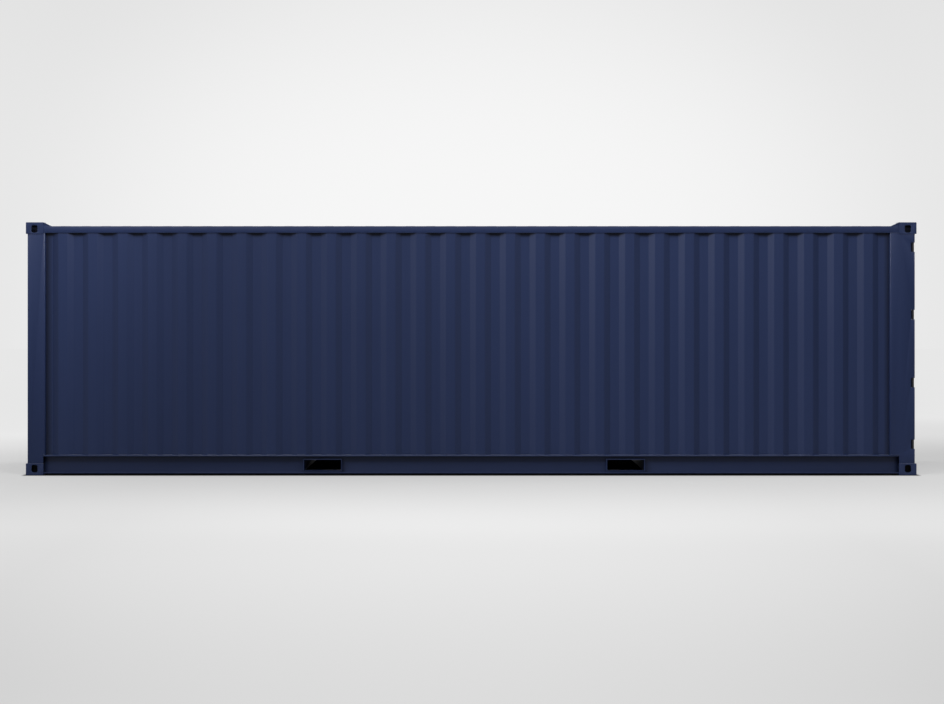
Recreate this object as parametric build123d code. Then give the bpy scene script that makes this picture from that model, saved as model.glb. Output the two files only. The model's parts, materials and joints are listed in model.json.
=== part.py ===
from build123d import *
import os

# Freight container, 30 ft long and 8 ft 6 in high. Millimetres. +X runs along the length towards the
# doors, +Y across, +Z up, and the origin is on the ground under the middle of the container.
# Left is the -Y side, as seen by someone who faces the doors from outside.

# Overall size
length = 9125.0
width = 2438.0
height = 2591.0

# Corner castings
casting_length = 178.0
casting_width = 162.0
casting_height = 118.0
casting_plate = 26.0  # round the aperture that a twistlock enters from above or below
casting_back = 10.0  # on the side that meets the post
casting_wall = 15.0
casting_round = 6.0  # outer edges
lock_hole_long = 124.5  # along the length of the container
lock_hole_wide = 63.5
lock_hole_from_end = 101.5
lock_hole_from_side = 89.0
side_hole_high = 79.5
side_hole_wide = 63.5
side_hole_from_end = 89.0
end_hole_wide = 51.0
end_hole_from_side = 77.0
face_hole_round = 22.0

# How far the frame stands back from the casting faces
end_setback = 16.0
side_setback = 6.0

# Pressed sections of the frame
post_sheet = 6.0
post_bend = 6.0
front_post_width = 180.0  # along the side
front_post_return = 48.0  # flange that takes the side wall
front_post_end_return = 60.0  # flange that takes the front wall
rear_post_width = 256.0  # along the side
rear_post_return = 60.0
rear_post_lip = 42.0  # across the end
stop_channel_depth = 40.0  # channel inside the rear post that the door seal closes on
stop_channel_width = 113.0
stop_channel_sheet = 10.0
stop_channel_gap = 0.5  # from the inner face of the castings

# Top rails and front header
top_rail_height = 68.0
top_rail_width = 60.0
top_rail_sheet = 4.0
top_rail_drop = 40.0  # from the top of the castings to the top of the rail
gusset_length = 84.0
gusset_plate = 5.0
gusset_below_top = 1.0
gusset_recess = 3.0  # web of the gusset behind the edge of its cover plate

# Bottom rails and front sill
bottom_rail_height = 190.0
bottom_rail_depth = 52.5
bottom_rail_lip = 14.0
bottom_rail_sheet = 4.5
bottom_rail_bend = 3.0
bottom_rail_clear = 16.0  # under the rail

# Corrugated walls
wall_sheet = 2.0
wall_bend = 7.0
wall_setback = 4.0  # outer flats behind the face of the rail
side_flat_count = 28
side_flat_width = 92.0
side_slope_run = 62.0
side_depth = 36.0
side_front_land = 74.0
side_rear_land = 114.0
front_flat_count = 8
front_flat_width = 110.0
front_slope_run = 22.0
front_depth = 45.6
front_end_land = 50.0

# Roof
roof_sheet = 2.0
roof_below_rail = 15.0  # from the top of the rail to the underside of the sheet
roof_edge_turn = 18.0
roof_rib_count = 41
roof_rib_end_gap = 204.5  # from the castings to the middle of the last rib
roof_rib_base = 118.0
roof_rib_rise = 20.0
roof_rib_draft = 34.0  # degrees from upright
roof_rib_from_rail = 60.0

# Fork pockets
pocket_spacing = 3108.0
pocket_offset = 30.0  # the pair stands this far towards the doors
pocket_width = 380.0
pocket_height = 115.0
pocket_sheet = 6.0
pocket_floor_height = 43.0  # inside of the pocket above the ground
pocket_mouth_setback = 2.0
pocket_strap = 200.0

# Cross members and floor
member_height = 122.0
member_flange = 45.0
member_sheet = 4.0
member_count = 27
member_pocket_gap = 20.0
floor_thickness = 28.0
floor_edge_gap = 2.0
centre_strip_width = 50.0
centre_strip_sheet = 4.0

# Door header and door sill
door_frame_depth = 105.5  # from the inner face of the castings to the face of the header
header_height = 100.0
header_sheet = 5.0
header_stop = 33.0  # lip that the door seal closes on
header_stop_depth = 20.0
sill_clear = 20.0
sill_step = 22.0  # from the floor down to the sill outside the seal
sill_sheet = 5.0

# Doors
door_gap = 8.0  # above and below a leaf
door_meeting_gap = 12.0
door_depth = 50.0
door_edge_from_pin = 35.0
door_stile = 100.0
door_stile_sheet = 4.0
door_rail = 120.0
door_rail_sheet = 3.0
door_flat_count = 7
door_flat_width = 110.0
door_slope_run = 36.0
door_corrugation_depth = 36.0
door_panel_setback = 7.0
door_land = 60.0
seal_width = 35.0
seal_clear = 0.5

# Hinges
hinge_shares = (0.0843, 0.3523, 0.6484, 0.9417)  # of the height between the castings
hinge_pin_from_end = 34.5
hinge_pin_from_side = 24.0
hinge_pin_radius = 8.0
hinge_pin_clear = 0.05
hinge_barrel_radius = 12.0
hinge_notch_height = 97.0
hinge_notch_depth = 39.5  # from the end of the post
hinge_lug_thickness = 16.0
hinge_lug_depth = 30.0
hinge_end_clear = 1.0
hinge_blade_height = 90.0
hinge_blade_thickness = 12.0
hinge_blade_length = 132.0
hinge_neck_back = 7.0

# Locking gear
rod_radius = 17.0
rod_places = (260.0, 850.0)  # from the hinge pin
rod_off_door = 25.0  # from the door face to the middle of the rod
rod_sill_overlap = 100.0
rod_header_overlap = 80.0
rod_fit = 0.3
cam_width = 56.0
cam_height = 40.0
cam_back_clear = 6.0
cam_depth = 42.0
keeper_sheet = 10.0
keeper_clear = 7.0
keeper_depth = 40.0
guide_plate = 6.0
guide_plate_width = 90.0
guide_plate_height = 60.0
guide_block_width = 52.0
guide_block_height = 40.0
guide_block_depth = 40.0
guide_flat_indices = (1, 4)  # outer flats of the door panel that carry a guide, from below
handle_flat_indices = (2, 3)  # outer flats beside the handles, from below
handle_hub_width = 48.0
handle_hub_height = 60.0
handle_length = 400.0
handle_height = 34.0
handle_thickness = 12.0
handle_tip_round = 16.0
handle_off_rod = 11.0  # from the middle of the rod to the back of the lever
catch_width = 50.0
catch_neck = 25.0
catch_arm = 8.0

# Helpers of the modelling itself
cut_over = 1.0  # how far a cut runs past the surface that it opens
match_within = 1.0  # an edge or corner this near a place counts as being there

# Places that follow from the sizes above
end = length / 2
side = width / 2
post_end = end - end_setback
post_side = side - side_setback
casting_face = end - casting_length
casting_side = side - casting_width
top_rail_top = height - top_rail_drop
top_rail_under = top_rail_top - top_rail_height
top_casting_under = height - casting_height
bottom_rail_top = bottom_rail_clear + bottom_rail_height
bottom_rail_inner = post_side - bottom_rail_depth
pocket_top = pocket_floor_height + pocket_height + pocket_sheet
floor_top = pocket_top + floor_thickness
front_post_inner = -post_end + front_post_width
rear_post_inner = post_end - rear_post_width
stop_face = casting_face + stop_channel_depth + stop_channel_gap
stop_inner_side = post_side - post_sheet - stop_channel_width
door_face = casting_face + door_frame_depth
door_back = door_face - door_depth
door_bottom = floor_top - sill_step + door_gap
door_top = top_casting_under - door_gap
hinge_heights = [casting_height + share * (top_casting_under - casting_height) for share in hinge_shares]
pin_x = end - hinge_pin_from_end
pin_y = -side + hinge_pin_from_side
leaf_edge = pin_y + door_edge_from_pin
leaf_free = -door_meeting_gap / 2
rod_x = door_face + rod_off_door
rod_ys = [pin_y + place for place in rod_places]
panel_bottom = door_bottom + door_rail
panel_top = door_top - door_rail
panel_face = door_face - door_panel_setback
pocket_middles = [pocket_offset - pocket_spacing / 2, pocket_offset + pocket_spacing / 2]
sill_top = floor_top - sill_step


def block(x0, x1, y0, y1, z0, z1):
    """Box between two corners."""
    middle = Pos((x0 + x1) / 2, (y0 + y1) / 2, (z0 + z1) / 2)
    return middle * Box(x1 - x0, y1 - y0, z1 - z0)


def plate(points):
    """Flat face through the points."""
    return make_face(Polyline(*points, close=True))


def folded(points, sheet, bend):
    """Section of a bent sheet. The points run along one face and the sheet lies to their left."""
    path = [Vector(*point) for point in points]
    steps = [(after - before).normalized() for before, after in zip(path, path[1:])]
    lefts = [Vector(-step.Y, step.X) for step in steps]
    mitres = [(a + b) * (1 / (1 + a.dot(b))) for a, b in zip(lefts, lefts[1:])]
    moves = [lefts[0], *mitres, lefts[-1]]
    far = [point + move * sheet for point, move in zip(path, moves)]
    left_turns = [a.cross(b).Z > 0 for a, b in zip(steps, steps[1:])]
    near_side = FilletPolyline(*path, radius=[bend + sheet if left else bend for left in left_turns])
    far_side = FilletPolyline(*far, radius=[bend if left else bend + sheet for left in left_turns])
    ends = [Line(near_side @ 0, far_side @ 0), Line(near_side @ 1, far_side @ 1)]
    return make_face([near_side, far_side, *ends])


def wave(span, flats, flat_width, slope_run, depth, first_land, last_land):
    """Points of a trapezium corrugation, as pairs of distance along and distance behind the outer flats."""
    run = flat_width + 2 * slope_run
    pitch = (span - first_land - last_land - run) / (flats - 1)
    points = [(0, depth)]
    for index in range(flats):
        start = first_land + index * pitch
        points += [(start, depth), (start + slope_run, 0)]
        points += [(start + slope_run + flat_width, 0), (start + run, depth)]
    return [*points, (span, depth)]


def along_x(face, x0, x1):
    """Section drawn in Y and Z, run along X."""
    return extrude(Pos(x0, 0, 0) * (Plane.YZ * face), amount=x1 - x0, dir=(1, 0, 0))


def along_y(face, y0, y1):
    """Section drawn in X and Z, run along Y."""
    return extrude(Pos(0, y0, 0) * (Plane.XZ * face), amount=y1 - y0, dir=(0, 1, 0))


def along_z(face, z0, z1):
    """Section drawn in X and Y, run along Z."""
    return extrude(Pos(0, 0, z0) * face, amount=z1 - z0, dir=(0, 0, 1))


def other_side(part):
    """The same piece on the right."""
    return mirror(part, about=Plane.XZ)


def both_sides(part):
    """A piece on the left together with its twin on the right."""
    return part + other_side(part)


def corner_casting():
    """Hollow casting at the front left foot, with an aperture below, one in the side and one in the end."""
    body = block(-end, -casting_face, -side, -casting_side, 0, casting_height)
    outer_edges = []
    for edge in body.edges():
        middle = edge.center()
        to_end, to_side, to_foot = abs(middle.X + end), abs(middle.Y + side), abs(middle.Z)
        if sum(gap < match_within for gap in (to_end, to_side, to_foot)) == 2:
            outer_edges.append(edge)
    body = fillet(outer_edges, casting_round)
    hollow_top = casting_height - casting_back
    body -= block(
        -end + casting_wall,
        -casting_face - casting_wall,
        -side + casting_wall,
        -casting_side - casting_wall,
        casting_plate,
        hollow_top,
    )
    lock_hole = Circle(lock_hole_long / 2) & Rectangle(lock_hole_long, lock_hole_wide)
    lock_hole = Pos(-end + lock_hole_from_end, -side + lock_hole_from_side) * lock_hole
    body -= along_z(lock_hole, -cut_over, casting_plate + cut_over)
    hole_level = (casting_plate + hollow_top) / 2
    side_hole = RectangleRounded(side_hole_wide, side_hole_high, face_hole_round)
    side_hole = Pos(-end + side_hole_from_end, hole_level) * side_hole
    body -= along_y(side_hole, -side - cut_over, -side + casting_wall + cut_over)
    end_hole = RectangleRounded(end_hole_wide, side_hole_high, face_hole_round)
    end_hole = Pos(-side + end_hole_from_side, hole_level) * end_hole
    return body - along_x(end_hole, -end - cut_over, -end + casting_wall + cut_over)


def corner_castings():
    """Eight castings by name, mirrored from the one at the front left foot."""
    castings = {}
    for end_name in ("front", "rear"):
        for side_name in ("left", "right"):
            for level in ("bottom", "top"):
                casting = corner_casting()
                if end_name == "rear":
                    casting = mirror(casting, about=Plane.YZ)
                if side_name == "right":
                    casting = other_side(casting)
                if level == "top":
                    casting = mirror(casting, about=Plane.XY.offset(height / 2))
                castings[f"corner_casting_{end_name}_{side_name}_{level}"] = casting
    return castings


def front_post():
    """Folded front left post, open towards the inside of the container."""
    section = folded(
        [
            (-post_end + front_post_end_return, -casting_side),
            (-post_end, -casting_side),
            (-post_end, -post_side),
            (front_post_inner, -post_side),
            (front_post_inner, -post_side + front_post_return),
        ],
        post_sheet,
        post_bend,
    )
    post = along_z(section, casting_height, top_rail_under)
    post -= block(-casting_face, front_post_inner + cut_over, -side, 0, 0, bottom_rail_top)
    return post - block(-end, -casting_face, -side, 0, top_casting_under, height)


def rear_post():
    """Rear left post: folded outer plate, channel inside it, and a pair of lugs at each hinge notch."""
    plate_section = folded(
        [
            (rear_post_inner, -post_side + rear_post_return),
            (rear_post_inner, -post_side),
            (post_end, -post_side),
            (post_end, -post_side + rear_post_lip),
        ],
        post_sheet,
        post_bend,
    )
    post = along_z(plate_section, casting_height, top_rail_under)
    post -= block(rear_post_inner - cut_over, casting_face, -side, 0, 0, bottom_rail_top)
    post -= block(casting_face, end, -side, 0, top_casting_under, height)
    inner_face = -post_side + post_sheet
    channel_section = folded(
        [
            (stop_face - stop_channel_depth, inner_face),
            (stop_face, inner_face),
            (stop_face, -stop_inner_side),
            (stop_face - stop_channel_depth, -stop_inner_side),
        ],
        stop_channel_sheet,
        post_bend,
    )
    post += along_z(channel_section, casting_height, top_casting_under)
    notch_start = post_end - hinge_notch_depth
    lug_ring = block(
        notch_start, post_end - post_sheet, inner_face, inner_face + hinge_lug_depth, 0, hinge_lug_thickness
    )
    for level in hinge_heights:
        low, high = level - hinge_notch_height / 2, level + hinge_notch_height / 2
        notch_back = -post_side + rear_post_lip + cut_over
        post -= block(notch_start, end, -side, notch_back, low, high)
        post += Pos(0, 0, high) * lug_ring
        post += Pos(0, 0, low - hinge_lug_thickness) * lug_ring
        reach = hinge_notch_height + 2 * hinge_lug_thickness
        bore = Cylinder(hinge_pin_radius + hinge_pin_clear, reach + 2 * cut_over)
        post -= Pos(pin_x, pin_y, level) * bore
    return post


def gusset():
    """Sloped corner gusset on a top rail, drawn as a run from the casting: web with a cover plate over it."""
    rise = top_rail_drop - gusset_below_top
    web = plate([(0, 0), (gusset_length, 0), (0, rise)])
    slope = Vector(-rise, gusset_length).normalized() * gusset_plate
    top_start, top_end = Vector(0, rise), Vector(gusset_length, 0)
    web -= plate([top_start, top_end, top_end - slope, top_start - slope])
    cover = plate([(0, 0), (gusset_length, 0), (0, rise)]) - web
    return web, cover


def top_rail():
    """Left top rail: closed box section with a sloped gusset at each end."""
    inner = -post_side + top_rail_width
    hollow = top_rail_sheet
    section = plate(
        [
            (-post_side, top_rail_under),
            (inner, top_rail_under),
            (inner, top_rail_top),
            (-post_side, top_rail_top),
        ]
    )
    section -= plate(
        [
            (-post_side + hollow, top_rail_under + hollow),
            (inner - hollow, top_rail_under + hollow),
            (inner - hollow, top_rail_top - hollow),
            (-post_side + hollow, top_rail_top - hollow),
        ]
    )
    rail = along_x(section, -casting_face, casting_face)
    web, cover = gusset()
    wedge = along_y(web, -post_side + gusset_recess, inner - gusset_recess)
    wedge += along_y(cover, -post_side, inner)
    front = Pos(-casting_face, 0, top_rail_top) * wedge
    return rail + front + mirror(front, about=Plane.YZ)


def lipped_channel(outer_face):
    """Section of the bottom rail, open outwards, with a short turned lip on each flange."""
    low, high = bottom_rail_clear, bottom_rail_top
    back = outer_face + bottom_rail_depth
    return folded(
        [
            (outer_face, low + bottom_rail_lip),
            (outer_face, low),
            (back, low),
            (back, high),
            (outer_face, high),
            (outer_face, high - bottom_rail_lip),
        ],
        bottom_rail_sheet,
        bottom_rail_bend,
    )


def bottom_rail():
    """Left bottom rail with its web cut for the fork pockets."""
    rail = along_x(lipped_channel(-post_side), -casting_face, casting_face)
    reach = pocket_width / 2 + pocket_sheet
    for middle in pocket_middles:
        low = pocket_floor_height - pocket_sheet
        behind = -bottom_rail_inner + cut_over
        rail -= block(middle - reach, middle + reach, -post_side, behind, low, pocket_top)
    return rail


def front_header():
    """Box section between the top castings at the front."""
    inner = -post_end + top_rail_width
    hollow = top_rail_sheet
    section = plate(
        [
            (-post_end, top_rail_under),
            (inner, top_rail_under),
            (inner, top_rail_top),
            (-post_end, top_rail_top),
        ]
    )
    section -= plate(
        [
            (-post_end + hollow, top_rail_under + hollow),
            (inner - hollow, top_rail_under + hollow),
            (inner - hollow, top_rail_top - hollow),
            (-post_end + hollow, top_rail_top - hollow),
        ]
    )
    return along_y(section, -casting_side, casting_side)


def front_sill():
    """Lipped channel between the bottom castings at the front."""
    return along_y(lipped_channel(-post_end), -casting_side, casting_side)


def keeper(level_low, level_high, web_low):
    """Cam keeper on the header or sill: two cheeks and a web across one end, open outwards."""
    reach = cam_width / 2 + keeper_clear
    outer = door_face + keeper_depth
    cheek = block(door_face, outer, reach, reach + keeper_sheet, level_low, level_high)
    web = block(
        door_face, outer, -reach - keeper_sheet, reach + keeper_sheet, web_low, web_low + keeper_sheet
    )
    return both_sides(cheek) + web


def rear_header():
    """Box section over the doors with a stop lip below and the upper cam keepers on its face."""
    low, high = top_casting_under, top_casting_under + header_height
    section = plate([(casting_face, low), (door_face, low), (door_face, high), (casting_face, high)])
    section -= offset(section, -header_sheet)
    header = along_y(section, -casting_side, casting_side)
    stop_back = stop_face - header_stop_depth
    header += block(stop_back, stop_face, -stop_inner_side, stop_inner_side, low - header_stop, low)
    cam_low = low + rod_header_overlap - cam_height
    top_web = low + rod_header_overlap + keeper_clear
    one = keeper(cam_low - keeper_clear, top_web, top_web)
    for place in rod_ys:
        header += Pos(0, place, 0) * one + Pos(0, -place, 0) * one
    return header


def rear_sill():
    """Stepped box section under the doors, its step closed on by the seal, with the lower keepers."""
    corners = [
        (casting_face, sill_clear),
        (door_face, sill_clear),
        (door_face, sill_top),
        (stop_face, sill_top),
        (stop_face, floor_top),
        (casting_face, floor_top),
    ]
    section = plate(corners)
    section -= offset(section, -sill_sheet)
    sill = along_y(section, -casting_side, casting_side)
    end_plug = along_y(plate(corners), -stop_inner_side, -casting_side)
    end_plug -= block(0, end, -side, 0, 0, casting_height)
    sill += both_sides(end_plug)
    cam_low = sill_top - rod_sill_overlap
    low_web = cam_low - keeper_clear - keeper_sheet
    one = keeper(low_web + keeper_sheet, cam_low + cam_height + keeper_clear, low_web)
    for place in rod_ys:
        sill += Pos(0, place, 0) * one + Pos(0, -place, 0) * one
    return sill


def side_wall():
    """Left side wall: one corrugated sheet between the posts and the rails."""
    outer = -post_side + wall_setback
    span = rear_post_inner - front_post_inner
    points = wave(
        span, side_flat_count, side_flat_width, side_slope_run, side_depth, side_front_land, side_rear_land
    )
    section = folded([(front_post_inner + s, outer + d) for s, d in points], wall_sheet, wall_bend)
    return along_z(section, bottom_rail_top, top_rail_under)


def front_wall():
    """Front wall: one corrugated sheet between the front posts."""
    outer = -post_end + wall_setback
    points = wave(
        2 * casting_side,
        front_flat_count,
        front_flat_width,
        front_slope_run,
        front_depth,
        front_end_land,
        front_end_land,
    )
    section = folded([(outer + d, casting_side - s) for s, d in points], wall_sheet, wall_bend)
    return along_z(section, bottom_rail_top, top_rail_under)


def roof():
    """Roof sheet with pressed ribs across it, turned down at its long edges, notched at the castings."""
    inner = post_side - top_rail_width
    under = top_rail_top - roof_below_rail
    over = under + roof_sheet
    front = -post_end + top_rail_width
    sheet = block(front, casting_face, -inner, inner, under, over)
    edge = block(front, casting_face, -inner, -inner + roof_sheet, under - roof_edge_turn, under)
    sheet += both_sides(edge)
    sheet -= block(-end, -casting_face, -side, -casting_side, 0, height)
    sheet -= block(-end, -casting_face, casting_side, side, 0, height)
    rib_length = 2 * (inner - roof_rib_from_rail)
    outer_rib = extrude(
        Pos(0, 0, over) * Rectangle(roof_rib_base, rib_length), roof_rib_rise, taper=roof_rib_draft
    )
    hollow_rib = extrude(
        Pos(0, 0, under) * Rectangle(roof_rib_base - roof_sheet, rib_length - roof_sheet),
        roof_rib_rise,
        taper=roof_rib_draft,
    )
    last = casting_face - roof_rib_end_gap
    pitch = 2 * last / (roof_rib_count - 1)
    places = [Pos(index * pitch - last, 0, 0) for index in range(roof_rib_count)]
    sheet += [place * outer_rib for place in places]
    return sheet - [place * hollow_rib for place in places]


def cross_members():
    """Channels across the base, left out where the fork pockets run."""
    bottom = pocket_top - member_height
    section = folded(
        [
            (member_flange, bottom),
            (0, bottom),
            (0, pocket_top),
            (member_flange, pocket_top),
        ][::-1],
        member_sheet,
        member_sheet,
    )
    one = along_y(section, -bottom_rail_inner, bottom_rail_inner)
    first = -post_end + bottom_rail_depth
    pitch = (casting_face - first) / (member_count + 1)
    reach = pocket_width / 2 + pocket_sheet + member_pocket_gap
    members = []
    for index in range(member_count):
        start = first + (index + 1) * pitch
        ends = [(middle - reach, middle + reach) for middle in pocket_middles]
        if all(start > high or start + member_flange < low for low, high in ends):
            members.append(Pos(start, 0, 0) * one)
    return Compound(children=members)


def fork_pocket(middle):
    """Pocket across the base: two side plates, a top plate, and a bottom strap at each mouth."""
    mouth = post_side - pocket_mouth_setback
    low = pocket_floor_height - pocket_sheet
    inner, outer = pocket_width / 2, pocket_width / 2 + pocket_sheet
    pocket = block(-outer, outer, -mouth, mouth, low, pocket_top)
    pocket -= block(-inner, inner, -side, side, pocket_floor_height, pocket_top - pocket_sheet)
    open_below = mouth - pocket_strap
    pocket -= block(-inner, inner, -open_below, open_below, 0, pocket_floor_height)
    return Pos(middle, 0, 0) * pocket


def floor_boards():
    """Two halves of the plywood floor, one on each side of the centre strip."""
    inner = centre_strip_width / 2
    outer = bottom_rail_inner - floor_edge_gap
    left = block(-post_end + bottom_rail_depth, casting_face, -outer, -inner, pocket_top, floor_top)
    left -= block(-end, -casting_face, -side, -casting_side, 0, height)
    return Compound(children=[left, other_side(left)])


def floor_centre_strip():
    """Folded steel strip along the middle of the floor, open below."""
    half = centre_strip_width / 2
    section = folded(
        [(half, pocket_top), (half, floor_top), (-half, floor_top), (-half, pocket_top)],
        centre_strip_sheet,
        centre_strip_sheet / 2,
    )
    return along_x(section, -post_end + bottom_rail_depth, casting_face)


def door_frame():
    """Left door frame: two box stiles and two channels, open up and down."""
    hinge_stile = plate(
        [
            (door_back, leaf_edge),
            (door_face, leaf_edge),
            (door_face, leaf_edge + door_stile),
            (door_back, leaf_edge + door_stile),
        ]
    )
    hinge_stile -= offset(hinge_stile, -door_stile_sheet)
    frame = along_z(hinge_stile, door_bottom, door_top)
    lock_shift = leaf_free - door_stile - leaf_edge
    frame += Pos(0, lock_shift, 0) * frame
    lower = folded(
        [
            (door_face, door_bottom),
            (door_face, panel_bottom),
            (door_back, panel_bottom),
            (door_back, door_bottom),
        ],
        door_rail_sheet,
        door_rail_sheet,
    )
    upper = folded(
        [
            (door_back, door_top),
            (door_back, panel_top),
            (door_face, panel_top),
            (door_face, door_top),
        ],
        door_rail_sheet,
        door_rail_sheet,
    )
    for section in (lower, upper):
        frame += along_y(section, leaf_edge + door_stile, leaf_free - door_stile)
    return frame


def door_wave():
    """Corrugation of the door panel, measured upwards."""
    return wave(
        panel_top - panel_bottom,
        door_flat_count,
        door_flat_width,
        door_slope_run,
        door_corrugation_depth,
        door_land,
        door_land,
    )


def door_flat_level(index):
    """Height of the middle of one outer flat of the door panel."""
    outer = [s for s, d in door_wave() if d == 0]
    return panel_bottom + (outer[2 * index] + outer[2 * index + 1]) / 2


def door_panel():
    """Left door panel with level corrugations."""
    section = folded([(panel_face - d, panel_bottom + s) for s, d in door_wave()], wall_sheet, wall_bend)
    return along_y(section, leaf_edge + door_stile, leaf_free - door_stile)


def door_seal():
    """Rubber frame on the back of the left leaf."""
    front = stop_face + seal_clear
    seal = block(front, door_back, leaf_edge, leaf_free, door_bottom, door_top)
    seal -= block(
        0,
        end,
        leaf_edge + seal_width,
        leaf_free - seal_width,
        door_bottom + seal_width,
        door_top - seal_width,
    )
    return seal


def door_hinges():
    """Four hinge blades of the left leaf, each with its barrel and pin."""
    barrel_height = hinge_notch_height - 2 * hinge_end_clear
    blade_section = plate(
        [
            (pin_x, pin_y - hinge_neck_back),
            (pin_x, pin_y + hinge_barrel_radius),
            (door_face + hinge_blade_thickness, pin_y + hinge_barrel_radius),
            (door_face + hinge_blade_thickness, pin_y + hinge_blade_length),
            (door_face, pin_y + hinge_blade_length),
            (door_face, pin_y - hinge_neck_back),
        ]
    )
    blade = along_z(blade_section, -hinge_blade_height / 2, hinge_blade_height / 2)
    pin_length = hinge_notch_height + 2 * hinge_lug_thickness
    axle = Pos(pin_x, pin_y, 0)
    blade += axle * Cylinder(hinge_barrel_radius, barrel_height)
    blade += axle * Cylinder(hinge_pin_radius, pin_length)
    return Compound(children=[Pos(0, 0, level) * blade for level in hinge_heights])


def lock_rods():
    """Two lock rods of the left leaf with a cam at each end."""
    low = sill_top - rod_sill_overlap
    high = top_casting_under + rod_header_overlap
    rod = Pos(0, 0, (low + high) / 2) * Cylinder(rod_radius, high - low)
    back = door_face + cam_back_clear - rod_x
    for cam_low in (low, high - cam_height):
        rod += block(back, back + cam_depth, -cam_width / 2, cam_width / 2, cam_low, cam_low + cam_height)
    return Compound(children=[Pos(rod_x, place, 0) * rod for place in rod_ys])


def guide(seat_face):
    """Rod guide on a seat: base plate and a block with the bore for the rod."""
    plate_face = door_face + guide_plate
    base = block(
        seat_face - rod_x,
        plate_face - rod_x,
        -guide_plate_width / 2,
        guide_plate_width / 2,
        -guide_plate_height / 2,
        guide_plate_height / 2,
    )
    base += block(
        plate_face - rod_x,
        plate_face + guide_block_depth - rod_x,
        -guide_block_width / 2,
        guide_block_width / 2,
        -guide_block_height / 2,
        guide_block_height / 2,
    )
    return base - Cylinder(rod_radius + rod_fit, guide_plate_height * 2)


def handle_directions():
    """Each handle as its rod, the other rod, its level and its direction along Y."""
    first, second = rod_ys
    low, high = (door_flat_level(index) for index in handle_flat_indices)
    return [(first, low, 1), (second, high, -1)]


def lock_guides():
    """Rod guides of the left leaf, and the catch that holds the end of each handle."""
    rail_levels = (door_bottom + door_rail / 2, door_top - door_rail / 2)
    pieces = []
    for place in rod_ys:
        for level in rail_levels:
            pieces.append(Pos(rod_x, place, level) * guide(door_face))
        for index in guide_flat_indices:
            pieces.append(Pos(rod_x, place, door_flat_level(index)) * guide(panel_face))
    lever_back = rod_x + handle_off_rod
    for place, level, direction in handle_directions():
        middle = place + direction * (handle_length - catch_width)
        arm = handle_height / 2
        catch = block(
            panel_face,
            panel_face + guide_plate,
            -catch_width / 2,
            catch_width / 2,
            -arm - 2 * catch_arm,
            arm + 2 * catch_arm,
        )
        catch += block(panel_face, lever_back, -catch_neck / 2, catch_neck / 2, -arm, arm)
        catch += block(
            panel_face,
            lever_back + handle_thickness,
            -catch_neck / 2,
            catch_neck / 2,
            -arm - catch_arm,
            -arm,
        )
        pieces.append(Pos(0, middle, level) * catch)
    return Compound(children=pieces)


def handles():
    """Two handles of the left leaf: a hub round the rod and a flat lever with a rounded end."""
    pieces = []
    lever_back = handle_off_rod
    for place, level, direction in handle_directions():
        hub = block(
            guide_plate - rod_off_door,
            lever_back + handle_thickness,
            -handle_hub_width / 2,
            handle_hub_width / 2,
            -handle_hub_height / 2,
            handle_hub_height / 2,
        )
        lever_face = plate(
            [
                (0, -handle_height / 2),
                (direction * handle_length, -handle_height / 2),
                (direction * handle_length, handle_height / 2),
                (0, handle_height / 2),
            ]
        )
        tip = [corner for corner in lever_face.vertices() if abs(corner.X) > match_within]
        lever_face = fillet(tip, handle_tip_round)
        lever = along_x(lever_face, lever_back, lever_back + handle_thickness)
        handle = hub + lever - Cylinder(rod_radius + rod_fit, handle_hub_height * 2)
        pieces.append(Pos(rod_x, place, level) * handle)
    return Compound(children=pieces)


def nodes():
    """Every sub-part by name."""
    parts = corner_castings()
    pairs = {
        "front_post": front_post(),
        "rear_post": rear_post(),
        "top_rail": top_rail(),
        "bottom_rail": bottom_rail(),
        "side_wall": side_wall(),
        "door_frame": door_frame(),
        "door_panel": door_panel(),
        "door_seal": door_seal(),
        "door_hinges": door_hinges(),
        "lock_rods": lock_rods(),
        "lock_guides": lock_guides(),
        "handles": handles(),
    }
    for name, left in pairs.items():
        parts[f"{name}_left"] = left
        parts[f"{name}_right"] = other_side(left)
    parts["front_header"] = front_header()
    parts["front_sill"] = front_sill()
    parts["rear_header"] = rear_header()
    parts["rear_sill"] = rear_sill()
    parts["front_wall"] = front_wall()
    parts["roof"] = roof()
    parts["cross_members"] = cross_members()
    parts["fork_pocket_front"] = fork_pocket(pocket_middles[0])
    parts["fork_pocket_rear"] = fork_pocket(pocket_middles[1])
    parts["floor_boards"] = floor_boards()
    parts["floor_centre_strip"] = floor_centre_strip()
    return parts


os.makedirs("parts", exist_ok=True)
for node_name, node_part in nodes().items():
    export_step(node_part, f"parts/{node_name}.step")
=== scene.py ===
"""Finishes, fine parts, light and camera for a 30 ft freight container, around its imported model."""

import json
import logging
import math
from collections.abc import Sequence
from dataclasses import dataclass, replace
from enum import Enum
from typing import Any, Union

import bmesh
import bpy
from mathutils import Matrix, Vector

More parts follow.
